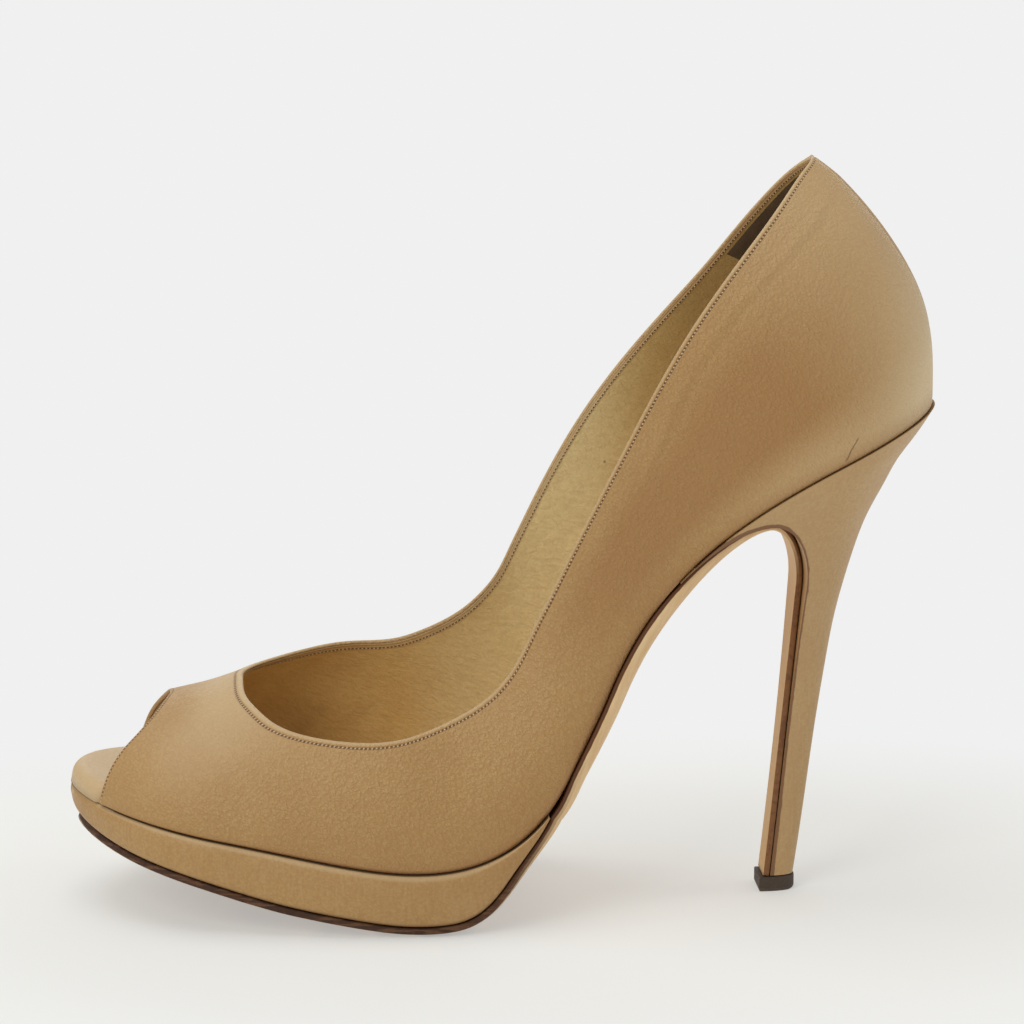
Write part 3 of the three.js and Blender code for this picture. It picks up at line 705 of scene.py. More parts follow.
def sole_path():
    """Stations of the outsole: place, sides, edge, crown, and the share gone over arch and breast."""
    arch_lead = 0.3
    along = np.linspace(0, along_of(arch_start), 241)
    share = np.clip(place_of(along, 0) / last_length, 0, 1)
    inset = mix(sole_inset + toe_inset, sole_inset, ease(share, 0, toe_zone))
    forefoot = wall + platform_ledge - inset - side_lean(share)
    grow = mix(forefoot, wall, ease(share, platform_end - 0.03, waist_start))
    w = place_of(along, grow)
    x, z = sole_point(w)
    outer = middle_of(w) - half_width(w, -1, grow)
    inner = middle_of(w) + half_width(w, 1, grow)
    edge = np.full(len(w), float(sole_edge))
    crown = sole_crown * crowns["crown"](w / last_length)
    start = np.array([x[-1], z[-1]])
    heading = start - (x[-2], z[-2])
    heading /= math.hypot(*heading)
    slope = math.tan(math.radians(breast_lean))

    def breast_at(level):
        return tip_front + flap_thickness + (level - tip_level) * slope

    guess = spine_level(breast_at(spine_level(tip_front)))
    top_x = breast_at(guess - arch_drop - breast_corner) - arch_reach
    top = (top_x, spine_level(top_x) - arch_drop)
    turn = (breast_at(top[1] - breast_corner), top[1] - breast_corner)
    reach = (top[0] - start[0]) * 0.42
    rise = curve_points([start, start + heading * reach * arch_lead, (top[0] - reach, top[1]), top], 60)
    fall = curve_points([
        top,
        (top[0] + arch_reach * 0.62, top[1]),
        (turn[0] + slope * breast_corner * 0.5, turn[1] + breast_corner * 0.5),
        turn,
    ], 60)
    breast = curve_points([
        turn,
        (mix(turn[0], tip_front + flap_thickness, 0.42), mix(turn[1], tip_level, 0.5)),
        (tip_front + flap_thickness, tip_level),
    ], 90)
    total = rise[1] + fall[1] + breast[1]
    gone = 0.0
    rows = [np.column_stack([x, z, outer, inner, edge, crown, np.zeros(len(x))])]
    for points, length in (rise, fall, breast):
        share = (gone + length * np.linspace(0, 1, len(points))) / total
        side = flaps["side"](share) / flaps["side"](0)
        part = np.column_stack([
            points, outer[-1] * side, inner[-1] * side, mix(sole_edge, flap_thickness, share),
            crown[-1] * (1 - ease(share, 0, 0.4)), share,
        ])
        rows.append(part[1:])
        gone += length
    return np.vstack(rows)


path = sole_path()


def footward(points):
    """Directions square to a path, towards the foot."""
    run = np.gradient(points, axis=0)
    run /= np.linalg.norm(run, axis=1)[:, None]
    return np.column_stack([-run[:, 1], run[:, 0]])


def make_outsole():
    up = footward(path[:, :2])
    # Share of the way out, and how deep: in edges, then in crowns
    crowned = (0.95, 0.92, 0.88, 0.83, 0.76, 0.66, 0.52, 0.36, 0.18, 0)
    profile = [
        (0, 0, 0), (0.6, 0, 0), (0.97, 0, 0), (1, 0.06, 0),
        (1.0, 0.3, 0), (1.0, 0.7, 0), (0.995, 0.92, 0.0), (0.98, 1, 0.14),
        *[(out, 1, 1 - out ** 10) for out in crowned],
    ]
    out, drop, crown = np.array(profile, float).T
    count = len(profile) - 1
    ring = 2 * count
    length = len(path) - 1

    def place(u, v):
        station = np.rint(u * length).astype(int)
        index = np.rint(v * ring).astype(int)
        side = np.where(index <= count, -1.0, 1.0)
        row = np.where(index <= count, index, ring - index)
        at = path[station]
        middle = (at[:, 2] + at[:, 3]) / 2
        y = mix(middle, np.where(side < 0, at[:, 2], at[:, 3]), out[row])
        down = drop[row] * at[:, 4] + crown[row] * at[:, 5]
        x = at[:, 0] - up[station, 0] * down
        z = np.maximum(at[:, 1] - up[station, 1] * down, 0)
        values = {"edge": 1 - np.clip(crown[row] * 8, 0, 1), "down": drop[row], "flap": at[:, 6]}
        return np.column_stack([x, y, z]), values

    return mapped("outsole_leather", length, ring, place, ("edge", "down", "flap"))


outsole = capped(make_outsole())


def tip_outline(u, front, depth, width):
    """The D of the tip: straight in front, round behind."""
    x = np.sin(u * np.pi / 2)
    squareness = 2.6
    return front + depth * x, np.maximum(1 - x ** squareness, 0) ** (1 / squareness) * width / 2


def pushed_out(outline, way):
    """Solid of an outline pushed along a way, both in millimetres."""
    form = bmesh.new()
    face = form.faces.new([form.verts.new((np.array(point) + shift) * MM) for point in outline])
    pushed = bmesh.ops.extrude_face_region(form, geom=[face])["geom"]
    moved = [item for item in pushed if isinstance(item, bmesh.types.BMVert)]
    bmesh.ops.translate(form, verts=moved, vec=[step * MM for step in way])
    return form


def side_cutter(outline):
    """Solid of an outline in the XZ plane, right across the shoe."""
    form = pushed_out([(x, -ball_width, z) for x, z in outline], (0, 2 * ball_width, 0))
    bmesh.ops.recalc_face_normals(form, faces=form.faces)
    return settled("cutter", form)


def cut(piece, cutter):
    """Takes the cutter out of the piece; its folded surface needs the check against itself."""
    tool = piece.modifiers.new("cut", "BOOLEAN")
    tool.object = cutter
    tool.operation = "DIFFERENCE"
    tool.solver = "EXACT"
    tool.use_self = True
    bpy.context.view_layer.update()
    result = bpy.data.meshes.new_from_object(piece.evaluated_get(bpy.context.evaluated_depsgraph_get()))
    piece.modifiers.clear()
    piece.data = result
    bpy.data.objects.remove(cutter)
    result.set_sharp_from_angle(angle=math.radians(35))
    return piece


def from_line(points, line):
    """Distance of each point from a broken line."""
    nearest = np.full(len(points), np.inf)
    for start, end in zip(line[:-1], line[1:]):
        run = end - start
        share = np.clip((points - start) @ run / (run @ run), 0, 1)
        nearest = np.minimum(nearest, np.linalg.norm(points - start - share[:, None] * run, axis=1))
    return nearest


unpainted = 9.0                 # far enough from the edge for no paint


def make_heel():
    """Lofted from the seat to the tip; the arch and the breast are then cut away."""
    start = along_of(heel_start)
    count, levels = 80, 100
    rings = 2 * levels + 2

    def place(u, v):
        ring = np.rint(v * rings).astype(int) % rings
        side = np.where(ring <= levels, -1.0, 1.0)
        level = np.where(ring <= levels, ring, 2 * levels + 1 - ring)
        down = (level / levels) ** 1.25
        along = mix(start, 1, u)
        w = place_of(along, wall)
        x, y, z = edge_point(w, side, wall, -gap - board_below(w / last_length)).T
        tip_x, tip_y = tip_outline(u, tip_front, tip_depth, tip_width)
        x = mix(tip_x, x, heel_rows["flare"](down))
        y = mix(side * tip_y, y, heel_rows["width"](down))
        return np.column_stack([x, y, mix(z, tip_level, down)]), {}

    heel = capped(mapped("heel_cover", count, rings, place))
    near = path[path[:, 0] > spine((waist_start + 0.02) * last_length)[0], :2]
    edge = near + footward(near) * gap
    kept = np.unique(np.append(np.arange(0, len(edge), 3), len(edge) - 1))
    below, before = -20, -100
    outline = edge[kept].tolist() + [(edge[-1, 0], below), (before, below), (before, edge[0, 1])]
    heel = cut(heel, side_cutter(outline))
    points = np.array([vert.co for vert in heel.data.vertices]) / MM - shift
    under = np.interp(points[:, 0], spine_x, spine_z + lift) - points[:, 2]
    heel.data.attributes.new("seat", "FLOAT", "POINT").data.foreach_set("value", under)
    from_edge = from_line(points[:, [0, 2]], edge)
    away = []
    for face in heel.data.polygons:
        near = from_edge[list(face.vertices)]
        on_breast = abs(face.normal.y) < 0.02 and near.max() < 0.3
        away += [unpainted] * len(near) if on_breast else near.tolist()
    heel.data.attributes.new("breast", "FLOAT", "CORNER").data.foreach_set("value", away)
    return heel


heel = make_heel()


def make_top_piece():
    front = tip_front - 3 * top_piece_flare
    depth = tip_back + top_piece_flare - front
    width = tip_width + 2 * top_piece_flare
    x, y = tip_outline(np.linspace(0, 1, 25), front, depth, width)
    outline = list(zip(x, -y)) + list(zip(x[-2::-1], y[-2::-1]))
    form = pushed_out([(*point, 0) for point in outline], (0, 0, top_piece_height))
    rims = [edge for edge in form.edges if abs(edge.verts[0].co.z - edge.verts[1].co.z) < 1e-6]
    bmesh.ops.bevel(form, geom=rims, offset=0.35 * MM, segments=3, profile=0.5, affect="EDGES", material=-1)
    # Worn at the back of the tread
    worn_length, worn_height = 1.8, 0.45
    for vert in form.verts:
        back = vert.co.x / MM - shift[0] - (front + depth - worn_length)
        if back > 0 and vert.co.z < 1.2 * MM:
            vert.co.z += worn_height * (back / worn_length) ** 1.5 * MM
    bmesh.ops.recalc_face_normals(form, faces=form.faces)
    piece = settled("top_piece_rubber", form)
    piece.data.set_sharp_from_angle(angle=math.radians(40))
    return piece


top_piece = make_top_piece()


def stitch_row(name, places, radius, length):
    """Small stitches lying along a line: each place is a point, a direction and a normal."""
    form = bmesh.new()
    for point, along, up in places:
        along = Vector(along).normalized()
        up = Vector(up).normalized()
        across = up.cross(along).normalized()
        turn = Matrix((along, across, along.cross(across))).transposed().to_4x4()
        seat = Matrix.Translation(Vector((np.array(point) + shift) * MM))
        size = Matrix.Diagonal((length / 2 * MM, radius * MM, radius * MM, 1))
        bmesh.ops.create_icosphere(form, subdivisions=1, radius=1.0, matrix=seat @ turn @ size)
    return settled(name, form)


def row_places(side, ks, way, share_at, to_middle, facing, grow):
    """Stitches of one side's row; share_at(length) is their place on a line of that length."""
    places = []
    count = int(way[-1] / stitch_pitch)
    for at in (np.arange(count) + 0.5) / count * way[-1]:
        k = np.interp(at, way, ks)
        length = np.interp(k, line_k, line_length[side])
        t = share_at(length)
        around = np.clip([k, k + 0.002, k - 0.002, k], 0, ks[-1])
        ts = np.array([t, t, t, t + to_middle * 0.3 / length])
        here, ahead, behind, inward = upper_point(around, side, ts, grow)
        along = ahead - behind
        places.append((here, along, np.cross(inward - here, along) * side * to_middle * facing))
    return places


def collar_stitches(facing, grow):
    def share_at(length):
        return 1 - stitch_depth * top_scale(length) / length

    rows = [row_places(side, line_k, collar_way[side], share_at, -1, facing, grow) for side in (-1, 1)]
    return rows[0] + rows[1]


def toe_stitches(grow):
    def share_at(length):
        return toe_depth * low_scale(length) / length

    rows = [row_places(side, *toe_rows[side], share_at, 1, 1, grow) for side in (-1, 1)]
    return rows[0] + rows[1]


stitches = stitch_row("collar_stitches", collar_stitches(1, wall - 0.05), 0.16, 0.58)
inner_stitches = stitch_row("lining_stitches", collar_stitches(-1, -0.02), 0.12, 0.52)
toe_row = stitch_row("toe_stitches", toe_stitches(wall - 0.02), 0.13, 0.58)

# Finishes


class Wire:
    """A number that changes over a surface; sums on it add Math nodes."""

    def __init__(self, finish, socket):
        self.finish = finish
        self.socket = socket

    def math(self, operation, *numbers):
        return self.finish.node("Math", {"operation": operation}, numbers)

    def __add__(self, other):
        return self.math("ADD", self, other)

    def __sub__(self, other):
        return self.math("SUBTRACT", self, other)

    def __rsub__(self, other):
        return self.math("SUBTRACT", other, self)

    def __mul__(self, other):
        return self.math("MULTIPLY", self, other)

    def __abs__(self):
        return self.math("ABSOLUTE", self)

    __radd__ = __add__
    __rmul__ = __mul__

    def rise(self, start, end):
        """0 up to start and 1 from end, softly between."""
        ends = {"Value": self, "From Min": start, "From Max": end}
        return self.finish.node("MapRange", {"interpolation_type": "SMOOTHSTEP"}, ends)

    def near(self, middle, half):
        """1 at the middle, falling softly to 0 at half a width from it."""
        return 1 - abs(self - middle).rise(half * 0.35, half)


class Finish:
    """A material in the making; sizes are in millimetres."""

    def __init__(self, name):
        self.paint = bpy.data.materials.new(name)
        self.paint.use_nodes = True
        self.shader = self.paint.node_tree.nodes["Principled BSDF"]
        self.place = self.node("TexCoord", out="Object")

    def node(self, kind, settings=(), values=(), out=0):
        made = self.paint.node_tree.nodes.new("ShaderNode" + kind)
        for name, setting in dict(settings).items():
            setattr(made, name, setting)
        for name, value in (values.items() if isinstance(values, dict) else enumerate(values)):
            self.feed(made.inputs[name], value)
        return Wire(self, made.outputs[out])

    def feed(self, socket, value):
        if isinstance(value, Wire):
            self.paint.node_tree.links.new(value.socket, socket)
        elif socket.type == "RGBA":
            socket.default_value = (*value, 1)
        else:
            socket.default_value = value

    def read(self, note):
        return self.node("Attribute", {"attribute_name": note}, out="Fac")

    def level(self, axis):
        return self.node("SeparateXYZ", values=[self.place], out=axis) * 1000

    def turned(self, size, turn):
        """Object coordinates counted in forms of the given size, in axes turned by degrees."""
        size = size if isinstance(size, tuple) else (size, size, size)
        turn = tuple(math.radians(angle) for angle in turn)
        scale = tuple(side * MM for side in size)
        values = {"Vector": self.place, "Rotation": turn, "Scale": scale}
        return self.node("Mapping", {"vector_type": "TEXTURE"}, values)

    def noise(self, size, turn=(0, 0, 0), detail=2.0, rough=0.5, twist=0.0):
        place = self.turned(size, turn)
        values = {"Vector": place, "Scale": 1.0, "Detail": detail, "Roughness": rough, "Distortion": twist}
        return self.node("TexNoise", {}, values)

    def dots(self, size, radius):
        """Small round marks, seldom next to each other."""
        place = self.turned(size, (20, 35, 50))
        return 1 - self.node("TexVoronoi", {}, {"Vector": place, "Scale": 1.0}).rise(radius * 0.5, radius)

    def pebbles(self, size, turn, bend):
        """Distance from the middle of the nearest pebble, in pebbles."""
        place = self.turned(size, turn)
        place = self.node("VectorMath", {"operation": "ADD"}, [place, bend])
        return self.node("TexVoronoi", {}, {"Vector": place, "Scale": 1.0})

    def blend(self, colour, other, share):
        return self.node("Mix", {"data_type": "RGBA"}, {0: share, 6: colour, 7: other}, out=2)

    def relief(self, height, depth):
        """Height from 0 to 1 standing for so many millimetres."""
        values = {"Strength": 1.0, "Distance": depth * MM, "Height": height}
        return self.node("Bump", {}, values, out="Normal")

    def made(self, **values):
        for name, value in values.items():
            self.feed(self.shader.inputs[name.replace("_", " ")], value)
        return self.paint


def tone(red, green, blue):
    """Colour as a screen shows it, 0 to 255, as light."""
    return tuple(((c / 255 + 0.055) / 1.055) ** 2.4 for c in (red, green, blue))


calf = tone(184, 148, 91)
calf_deep = tone(154, 106, 54)
calf_pale = tone(212, 186, 141)
edge_brown = tone(94, 55, 25)
grime_and_shade = tone(60, 38, 22)


def skin_grain(finish, size):
    """Fine pebbles of calf, 0 in the creases and 1 on the pebbles."""
    bend = finish.noise(size * 1.6, detail=1)
    small = finish.pebbles((size, size, size * 0.7), (20, 35, 50), bend)
    broad = finish.pebbles((size * 1.5, size * 1.5, size), (70, 10, 20), bend)
    return 1 - small.rise(0.18, 0.72) * 0.6 - broad.rise(0.20, 0.75) * 0.4


def calf_leather(name, grain_size):
    """Tan calf: slow shade changes, furrowed grain and a few tiny marks."""
    finish = Finish(name)
    grain = skin_grain(finish, grain_size)
    slow = finish.noise(70, detail=2).rise(0.30, 0.72)
    clouds = finish.noise(16, detail=3).rise(0.30, 0.75)
    colour = finish.blend(calf, calf_deep, 0.10 + 0.22 * slow + 0.16 * clouds)
    colour = finish.blend(colour, calf_deep, 0.42 * (1 - grain))
    colour = finish.blend(colour, grime_and_shade, 0.55 * finish.dots(17, 0.022))
    rough = 0.44 + 0.10 * (1 - grain) + 0.06 * clouds
    return finish, colour, rough, grain


def needle_holes(finish, count, in_row, size):
    """1 in the holes of a row of stitches, which lie at its whole counts."""
    away = finish.node("Math", {"operation": "PINGPONG"}, [finish.read(count), 0.5])
    return (1 - away.rise(*size)) * in_row


def upper_finish():
    finish, colour, rough, grain = calf_leather("tan calf upper", 0.85)
    below = finish.read("below_edge")
    above = finish.read("above_sole")
    at = finish.read("at")
    up = finish.read("up")
    away = finish.read("seam")
    # Painted shade in a warm darker belt across the quarter; painted highlights over the counter and on the
    # vamp, and painted floor light low by the seat
    quarter_shade = (up - 0.42 - 0.10 * finish.noise(30)).near(0.0, 0.40) * at.near(0.75, 0.17)
    colour = finish.blend(colour, calf_deep, 0.55 * quarter_shade)
    counter_highlight = at.rise(0.82, 0.96) * (0.80 - 0.42 * up.rise(0.12, 0.60))
    vamp_sheen = (1 - at.rise(0.08, 0.32)) * (0.10 + 0.40 * up.rise(0.2, 0.8))
    floor_light_by_seat = 0.40 * (1 - up.rise(0.03, 0.30)) * at.rise(0.68, 0.84)
    colour = finish.blend(colour, calf_pale, counter_highlight + vamp_sheen + floor_light_by_seat)
    # Folded edge, rubbed lighter, and the two rows of needle holes
    colour = finish.blend(colour, calf_pale, 0.42 * (1 - below.rise(0.5, 1.1)))
    at_toe = 1 - at.rise(toe_share - 0.012, toe_share - 0.004)
    hole_size = (0.19, 0.30)
    hole = needle_holes(finish, "stitch", below.near(stitch_depth, 0.36), hole_size)
    hole = hole + needle_holes(finish, "toe", above.near(toe_depth, 0.42) * at_toe, hole_size)
    colour = finish.blend(colour, grime_and_shade, 0.95 * hole)
    colour = finish.blend(colour, calf_deep, 0.30 * below.near(stitch_depth, 0.60))
    colour = finish.blend(colour, calf_deep, 0.45 * above.near(toe_depth, 0.60) * at_toe)
    # Painted shade with grime in the tuck along the feather line, a softer painted shade a few millimetres
    # above it, and a dark line in the back seam
    under = (1 - above.rise(0.2, 1.5)) * at.rise(0.215, 0.23)
    colour = finish.blend(colour, edge_brown, under * (0.92 - 0.66 * at.rise(0.52, 0.66)))
    colour = finish.blend(colour, calf_deep, 0.35 * (1 - above.rise(0.6, 4.5)) * at.rise(0.21, 0.26))
    colour = finish.blend(colour, edge_brown, 0.85 * away.near(0.0, 0.42))
    # Hair crack above the seat, on the outer side
    crack_x, crack_low, crack_high = 80.5, 111.4, 116.9
    x, y, z = (finish.level(axis) for axis in "XYZ")
    crack = (x - crack_x - 0.55 * (z - crack_low - 0.4) + 0.8 * finish.noise(2.5) - 0.4).near(0.0, 0.25)
    crack = crack * z.rise(crack_low, crack_low + 0.6) * (1 - z.rise(crack_high, crack_high + 0.8))
    crack = crack * (1 - y.rise(-8, 0))
    colour = finish.blend(colour, edge_brown, 0.6 * crack)
    smooth_parts = 1 - 0.55 * (1 - at.rise(0.05, 0.34)) - 0.30 * at.rise(0.86, 0.98)
    height = grain * smooth_parts - 0.8 * hole - 0.5 * crack
    return finish.made(Base_Color=colour, Roughness=rough, Normal=finish.relief(height, 0.16))


def cover_leather(name, pale):
    """Smoother calf, as on the platform and the heel."""
    finish, colour, rough, grain = calf_leather(name, 0.7)
    threads = finish.noise((0.7, 0.7, 5.0), (4, 0, 0)).rise(0.35, 0.7)
    colour = finish.blend(colour, calf_pale, pale + 0.08 * threads)
    return finish, colour, rough, finish.relief(grain, 0.02)


def platform_finish():
    """Painted highlight under its top edge, painted shade and grime on its top ledge, darker along the bottom
    above the sole, with one small nick at the toe.
    """
    finish, colour, rough, normal = cover_leather("platform calf", 0.0)
    level = finish.read("level")
    # Painted highlight along the top edge
    colour = finish.blend(colour, calf_pale, 0.40 * (1 - level.rise(0.05, 0.13)))
    # Painted shade with grime on the ledge under the upper
    colour = finish.blend(colour, grime_and_shade, 0.75 * (1 - level.rise(0.005, 0.02)))
    # Darker along the bottom, above the sole
    colour = finish.blend(colour, edge_brown, 0.6 * level.rise(0.90, 1.0))
    nick_end = -105.2
    nick = (1 - finish.level("X").rise(nick_end + 0.2, nick_end + 0.9)) * level.near(0.22, 0.15)
    nick = nick * finish.level("Y").near(-3, 4) * finish.noise(0.5).rise(0.35, 0.6)
    colour = finish.blend(colour, tone(214, 190, 154), 0.6 * nick)
    return finish.made(Base_Color=colour, Roughness=rough, Normal=normal)


def heel_finish():
    """Edge paint of the flap run out raggedly onto the cover, and a dark joint at the seat."""
    finish, colour, rough, normal = cover_leather("heel calf", 0.22)
    ragged = 0.12 + 0.80 * finish.noise((2, 2, 4), detail=4, rough=0.7)
    ragged = ragged + 0.55 * (1 - finish.level("X").rise(66, 74))
    ragged = ragged + 1.3 * finish.noise((7, 7, 9), (0, 0, 40), detail=2).rise(0.60, 0.74)
    paint = 1 - (finish.read("breast") - ragged).rise(-0.20, 0.08)
    colour = finish.blend(colour, tone(116, 74, 40), 0.90 * paint)
    colour = finish.blend(colour, edge_brown, 0.35 * (1 - finish.read("seat").rise(0.0, 0.7)))
    return finish.made(Base_Color=colour, Roughness=rough, Normal=normal)


def lining_finish():
    finish = Finish("gold lining leather")
    wrinkles = finish.noise((2.6, 2.0, 1.1), (0, 28, 0), detail=2, twist=0.5).rise(0.30, 0.70)
    pores = skin_grain(finish, 0.8)
    clouds = finish.noise(22, detail=3).rise(0.35, 0.70)
    strokes = finish.noise((24, 14, 9), (0, -38, 10), detail=3, rough=0.55).rise(0.40, 0.85)
    x = finish.level("X")
    colour = finish.blend(tone(248, 215, 142), tone(226, 184, 106), 0.5 * clouds)
    # Painted highlight across the lining's middle
    colour = finish.blend(colour, tone(255, 240, 186), 0.70 * x.near(8, 36))
    colour = finish.blend(colour, tone(126, 84, 36), strokes * (0.10 + 0.22 * (1 - x.rise(-40, 0))))
    # Painted shade towards the back, inside the counter
    colour = finish.blend(colour, tone(134, 94, 46), 0.60 * x.rise(18, 54))
    # Darker towards the front, and painted shade deep inside the toe
    colour = finish.blend(colour, tone(156, 92, 46), 0.30 * (1 - x.rise(-45, 5)))
    colour = finish.blend(colour, tone(96, 62, 36), 0.75 * (1 - x.rise(-84, -66)))
    colour = finish.blend(colour, tone(168, 126, 60), 0.14 * (1 - pores) + 0.12 * (1 - wrinkles))
    colour = finish.blend(colour, grime_and_shade, 0.6 * finish.dots(13, 0.035))
    below = finish.read("below_edge")
    hole = needle_holes(finish, "stitch", below.near(stitch_depth, 0.36), (0.14, 0.26))
    colour = finish.blend(colour, tone(150, 104, 54), 0.6 * (1 - below.rise(1.4, 2.6)))
    colour = finish.blend(colour, grime_and_shade, 0.8 * hole)
    rough = 0.36 + 0.12 * clouds + 0.08 * (1 - pores)
    height = 0.7 * wrinkles + 0.3 * pores - 0.6 * hole
    return finish.made(Base_Color=colour, Roughness=rough, Normal=finish.relief(height, 0.12))


def suede_finish():
    finish = Finish("suede heel grip")
    nap = finish.noise(0.45, detail=3, rough=0.65)
    brushed = finish.noise((9, 5, 14), detail=2).rise(0.35, 0.70)
    colour = finish.blend(tone(104, 82, 54), tone(74, 56, 34), 0.55 * brushed + 0.35 * nap)
    return finish.made(Base_Color=colour, Roughness=0.93, Normal=finish.relief(nap, 0.09))


def sock_finish():
    """Pale calf rolled over the front, lining leather further in with the prints of wear."""
    finish, colour, rough, grain = calf_leather("insole leather", 0.8)
    front = finish.blend(colour, tone(230, 208, 166), 0.42)
    inside = finish.level("X").rise(-76, -70)
    wrinkles = finish.noise((1.2, 6.0, 3.0), detail=2, twist=0.5).rise(0.35, 0.7)
    clouds = finish.noise(18, detail=3).rise(0.3, 0.7)
    sock = finish.blend(tone(206, 172, 112), tone(172, 130, 74), 0.35 * clouds)
    worn = finish.noise((30, 16, 30), detail=2).rise(0.40, 0.66)
    worn = worn * (1 - finish.read("across").rise(0.45, 0.95))
    sock = finish.blend(sock, tone(122, 88, 52), 0.55 * worn)
    sock = finish.blend(sock, grime_and_shade, 0.5 * finish.dots(11, 0.04))
    colour = finish.blend(front, sock, inside)
    height = grain * 0.6 + wrinkles * inside
    return finish.made(Base_Color=colour, Roughness=rough, Normal=finish.relief(height, 0.03))


def sole_finish():
    """Natural sole leather with a dark painted edge and a scuffed tread."""
    finish = Finish("sole leather")
    flap = finish.read("flap")
    x = finish.level("X")
    fibres = finish.noise((9, 1.2, 9), detail=4, rough=0.6).rise(0.30, 0.72)
    patches = finish.noise(20, detail=4, rough=0.6).rise(0.32, 0.72)
    colour = finish.blend(tone(232, 200, 152), tone(204, 160, 106), 0.36 * fibres + 0.30 * patches)
    colour = finish.blend(colour, tone(186, 144, 82), 0.60 * flap.rise(0.35, 0.55))
    tread = 1 - x.rise(-6, 16)
    worn = finish.noise((7, 12, 7), detail=5, rough=0.65).rise(0.36, 0.62)
    scored = finish.noise((26, 0.7, 26), (0, 0, 24), detail=3).rise(0.56, 0.66)
    scored = scored + finish.noise((22, 0.8, 22), (0, 0, -50), detail=3).rise(0.60, 0.68)
    colour = finish.blend(colour, tone(96, 76, 56), tread * (0.30 + 0.55 * worn))
    colour = finish.blend(colour, tone(62, 50, 40), tread * 0.5 * scored)
    waver = 0.16 * finish.noise(2.4, detail=3)
    narrow = x.rise(-5, 25) * (1 - flap.rise(0.30, 0.45)) * (finish.read("down") + waver).rise(0.52, 0.66)
    paint = (finish.read("edge") + waver - 0.08).rise(0.58, 0.72) * (1 - narrow)
    scuffs = tread * finish.noise((8, 8, 0.8), detail=3).rise(0.50, 0.62)
    painted = finish.blend(tone(66, 42, 28), edge_brown, x.rise(-20, 20))
    painted = finish.blend(painted, tone(134, 90, 52), 0.85 * flap.rise(0.20, 0.45))
    painted = finish.blend(painted, tone(112, 78, 50), 0.75 * scuffs)
    painted = finish.blend(painted, tone(92, 56, 34), 0.5 * finish.noise(1.4, detail=3).rise(0.45, 0.65))
    colour = finish.blend(colour, painted, paint)
    rough = 0.54 + 0.20 * tread * worn
    height = 0.5 * fibres + 0.5 * scuffs * paint - 0.4 * tread * scored
    finish.made(Base_Color=colour, Roughness=rough, Normal=finish.relief(height, 0.05))
    return finish.made(Specular_IOR_Level=0.3)


def rubber_finish():
    finish = Finish("heel tip rubber")
    specks = finish.noise(0.4, detail=3, rough=0.7)
    rubbed = 1 - (finish.level("Z") + 0.8 * finish.noise(1.5, detail=3)).rise(0.5, 1.5)
    colour = finish.blend(tone(66, 52, 40), tone(92, 78, 62), 0.45 * specks.rise(0.4, 0.7) + 0.45 * rubbed)
    return finish.made(Base_Color=colour, Roughness=0.62 + 0.2 * specks, Normal=finish.relief(specks, 0.05))


def thread_finish():
    finish = Finish("beige thread")
    twist = finish.noise(0.16, detail=1)
    colour = finish.blend(tone(226, 206, 168), tone(176, 146, 104), twist.rise(0.35, 0.75))
    return finish.made(Base_Color=colour, Roughness=0.68, Normal=finish.relief(twist, 0.04))


thread_paint = thread_finish()
for piece, paint, node in (
    (upper, upper_finish(), "upper"),
    (lining, lining_finish(), "upper"),
    (heel_grip, suede_finish(), None),
    (insole, sock_finish(), "insole"),
    (platform, platform_finish(), "platform"),
    (outsole, sole_finish(), "outsole"),
    (heel, heel_finish(), "heel"),
    (top_piece, rubber_finish(), "top_piece"),
    (stitches, thread_paint, None),
    (inner_stitches, thread_paint, None),
    (toe_row, thread_paint, None),
):
    piece.data.materials.clear()
    piece.data.materials.append(paint)
    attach(piece, "root")
    if node:
        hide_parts(node)

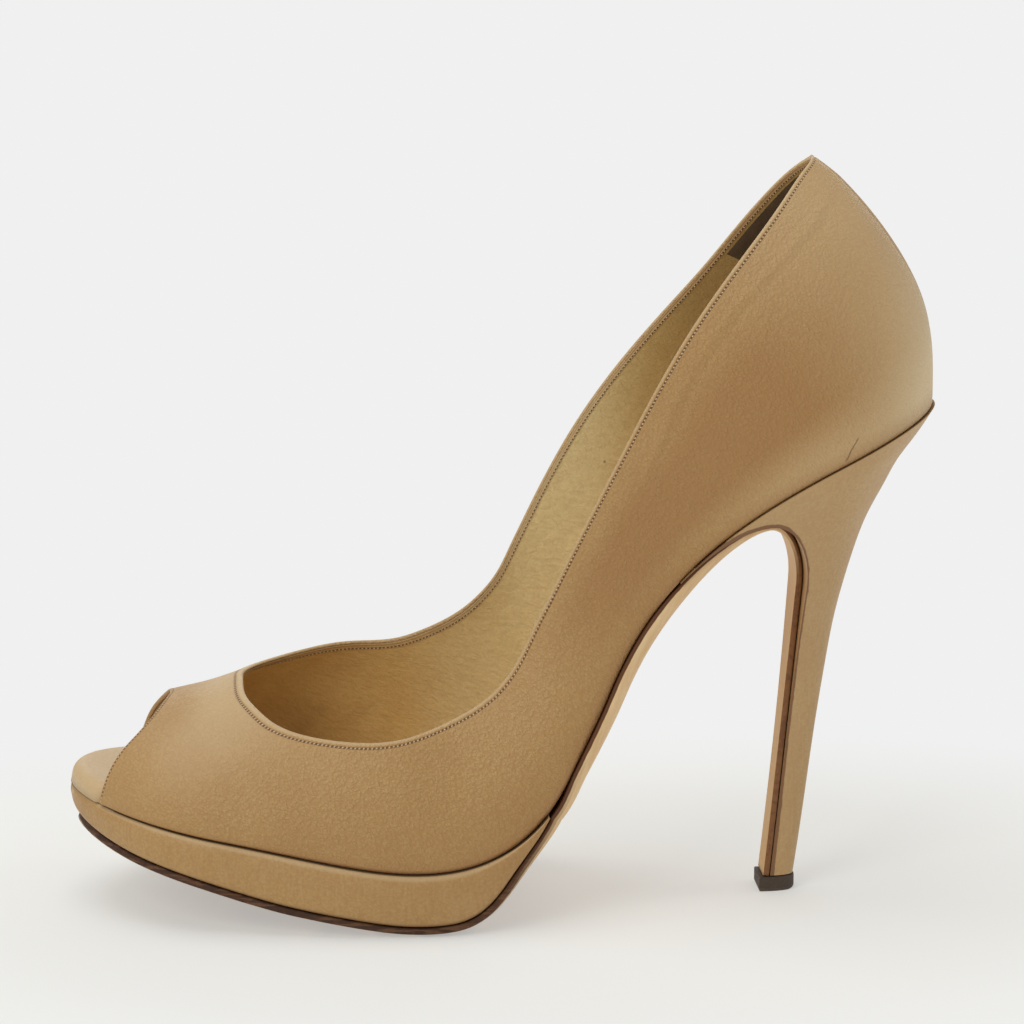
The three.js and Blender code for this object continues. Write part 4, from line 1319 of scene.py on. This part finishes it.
# Camera at the photograph's place
target = Vector(((106.975 + shift[0]) * MM, 0, 0.09558))
yaw, rise, distance = math.radians(3.439), math.radians(10.202), 0.840
frame_width = 1024
pixels_per_mm = 4.1             # on the target
away = Vector((-math.sin(yaw) * math.cos(rise), -math.cos(yaw) * math.cos(rise), math.sin(rise)))
camera_data = bpy.data.cameras.new("camera")
camera = bpy.data.objects.new("camera", camera_data)
bpy.context.scene.collection.objects.link(camera)
camera.location = target + away * distance
camera.rotation_euler = (-away).to_track_quat("-Z", "Y").to_euler()
camera_data.sensor_width = 36
camera_data.lens = pixels_per_mm * distance / MM / frame_width * camera_data.sensor_width
camera_data.clip_start = 0.05
camera_data.clip_end = 100
bpy.context.scene.camera = camera
bpy.context.scene.view_settings.view_transform = "Standard"


def paper_finish():
    """Pale sweep: lit near the shoe, an even soft grey-white further off."""
    finish = Finish("pale paper")
    finish.made(Base_Color=(0.88, 0.872, 0.80), Roughness=0.95)
    glow = finish.node("Emission", values={"Color": tone(240, 240, 240), "Strength": 1.0})
    place = finish.turned((240, 150, 100), (0, 0, 0))
    far = finish.node("VectorMath", {"operation": "LENGTH"}, [place], out="Value")
    lit = Wire(finish, finish.shader.outputs[0])
    mixed = finish.node("MixShader", values=[0.40 + 0.60 * far.rise(0.55, 1.2), lit, glow])
    finish.feed(finish.paint.node_tree.nodes["Material Output"].inputs["Surface"], mixed)
    return finish.paint


# Floor and light
form = bmesh.new()
bmesh.ops.create_grid(form, x_segments=1, y_segments=1, size=15)
floor = settled("floor", form)
floor.data.materials.append(paper_finish())

world = bpy.context.scene.world or bpy.data.worlds.new("world")
bpy.context.scene.world = world
world.use_nodes = True
world.node_tree.nodes["Background"].inputs["Color"].default_value = (0.95, 0.97, 1.0, 1)
world.node_tree.nodes["Background"].inputs["Strength"].default_value = 0.45


def soft_light(name, place, aim, size, power):
    data = bpy.data.lights.new(name, "AREA")
    data.shape = "RECTANGLE"
    data.size, data.size_y = size
    data.energy = power
    light = bpy.data.objects.new(name, data)
    bpy.context.scene.collection.objects.link(light)
    light.location = place
    light.rotation_euler = (Vector(aim) - Vector(place)).to_track_quat("-Z", "Y").to_euler()


soft_light("overhead", (-0.25, 0.0, 1.1), (0, 0, 0.05), (0.9, 0.7), 4.5)
soft_light("front left", (-0.8, -1.0, 0.9), (0, 0, 0.08), (0.7, 0.7), 6)
soft_light("behind", (0.2, 1.3, 0.6), (0, 0, 0.08), (1.6, 0.7), 4)
soft_light("right", (1.2, 0.2, 0.5), (0.05, 0, 0.1), (0.6, 0.8), 2)
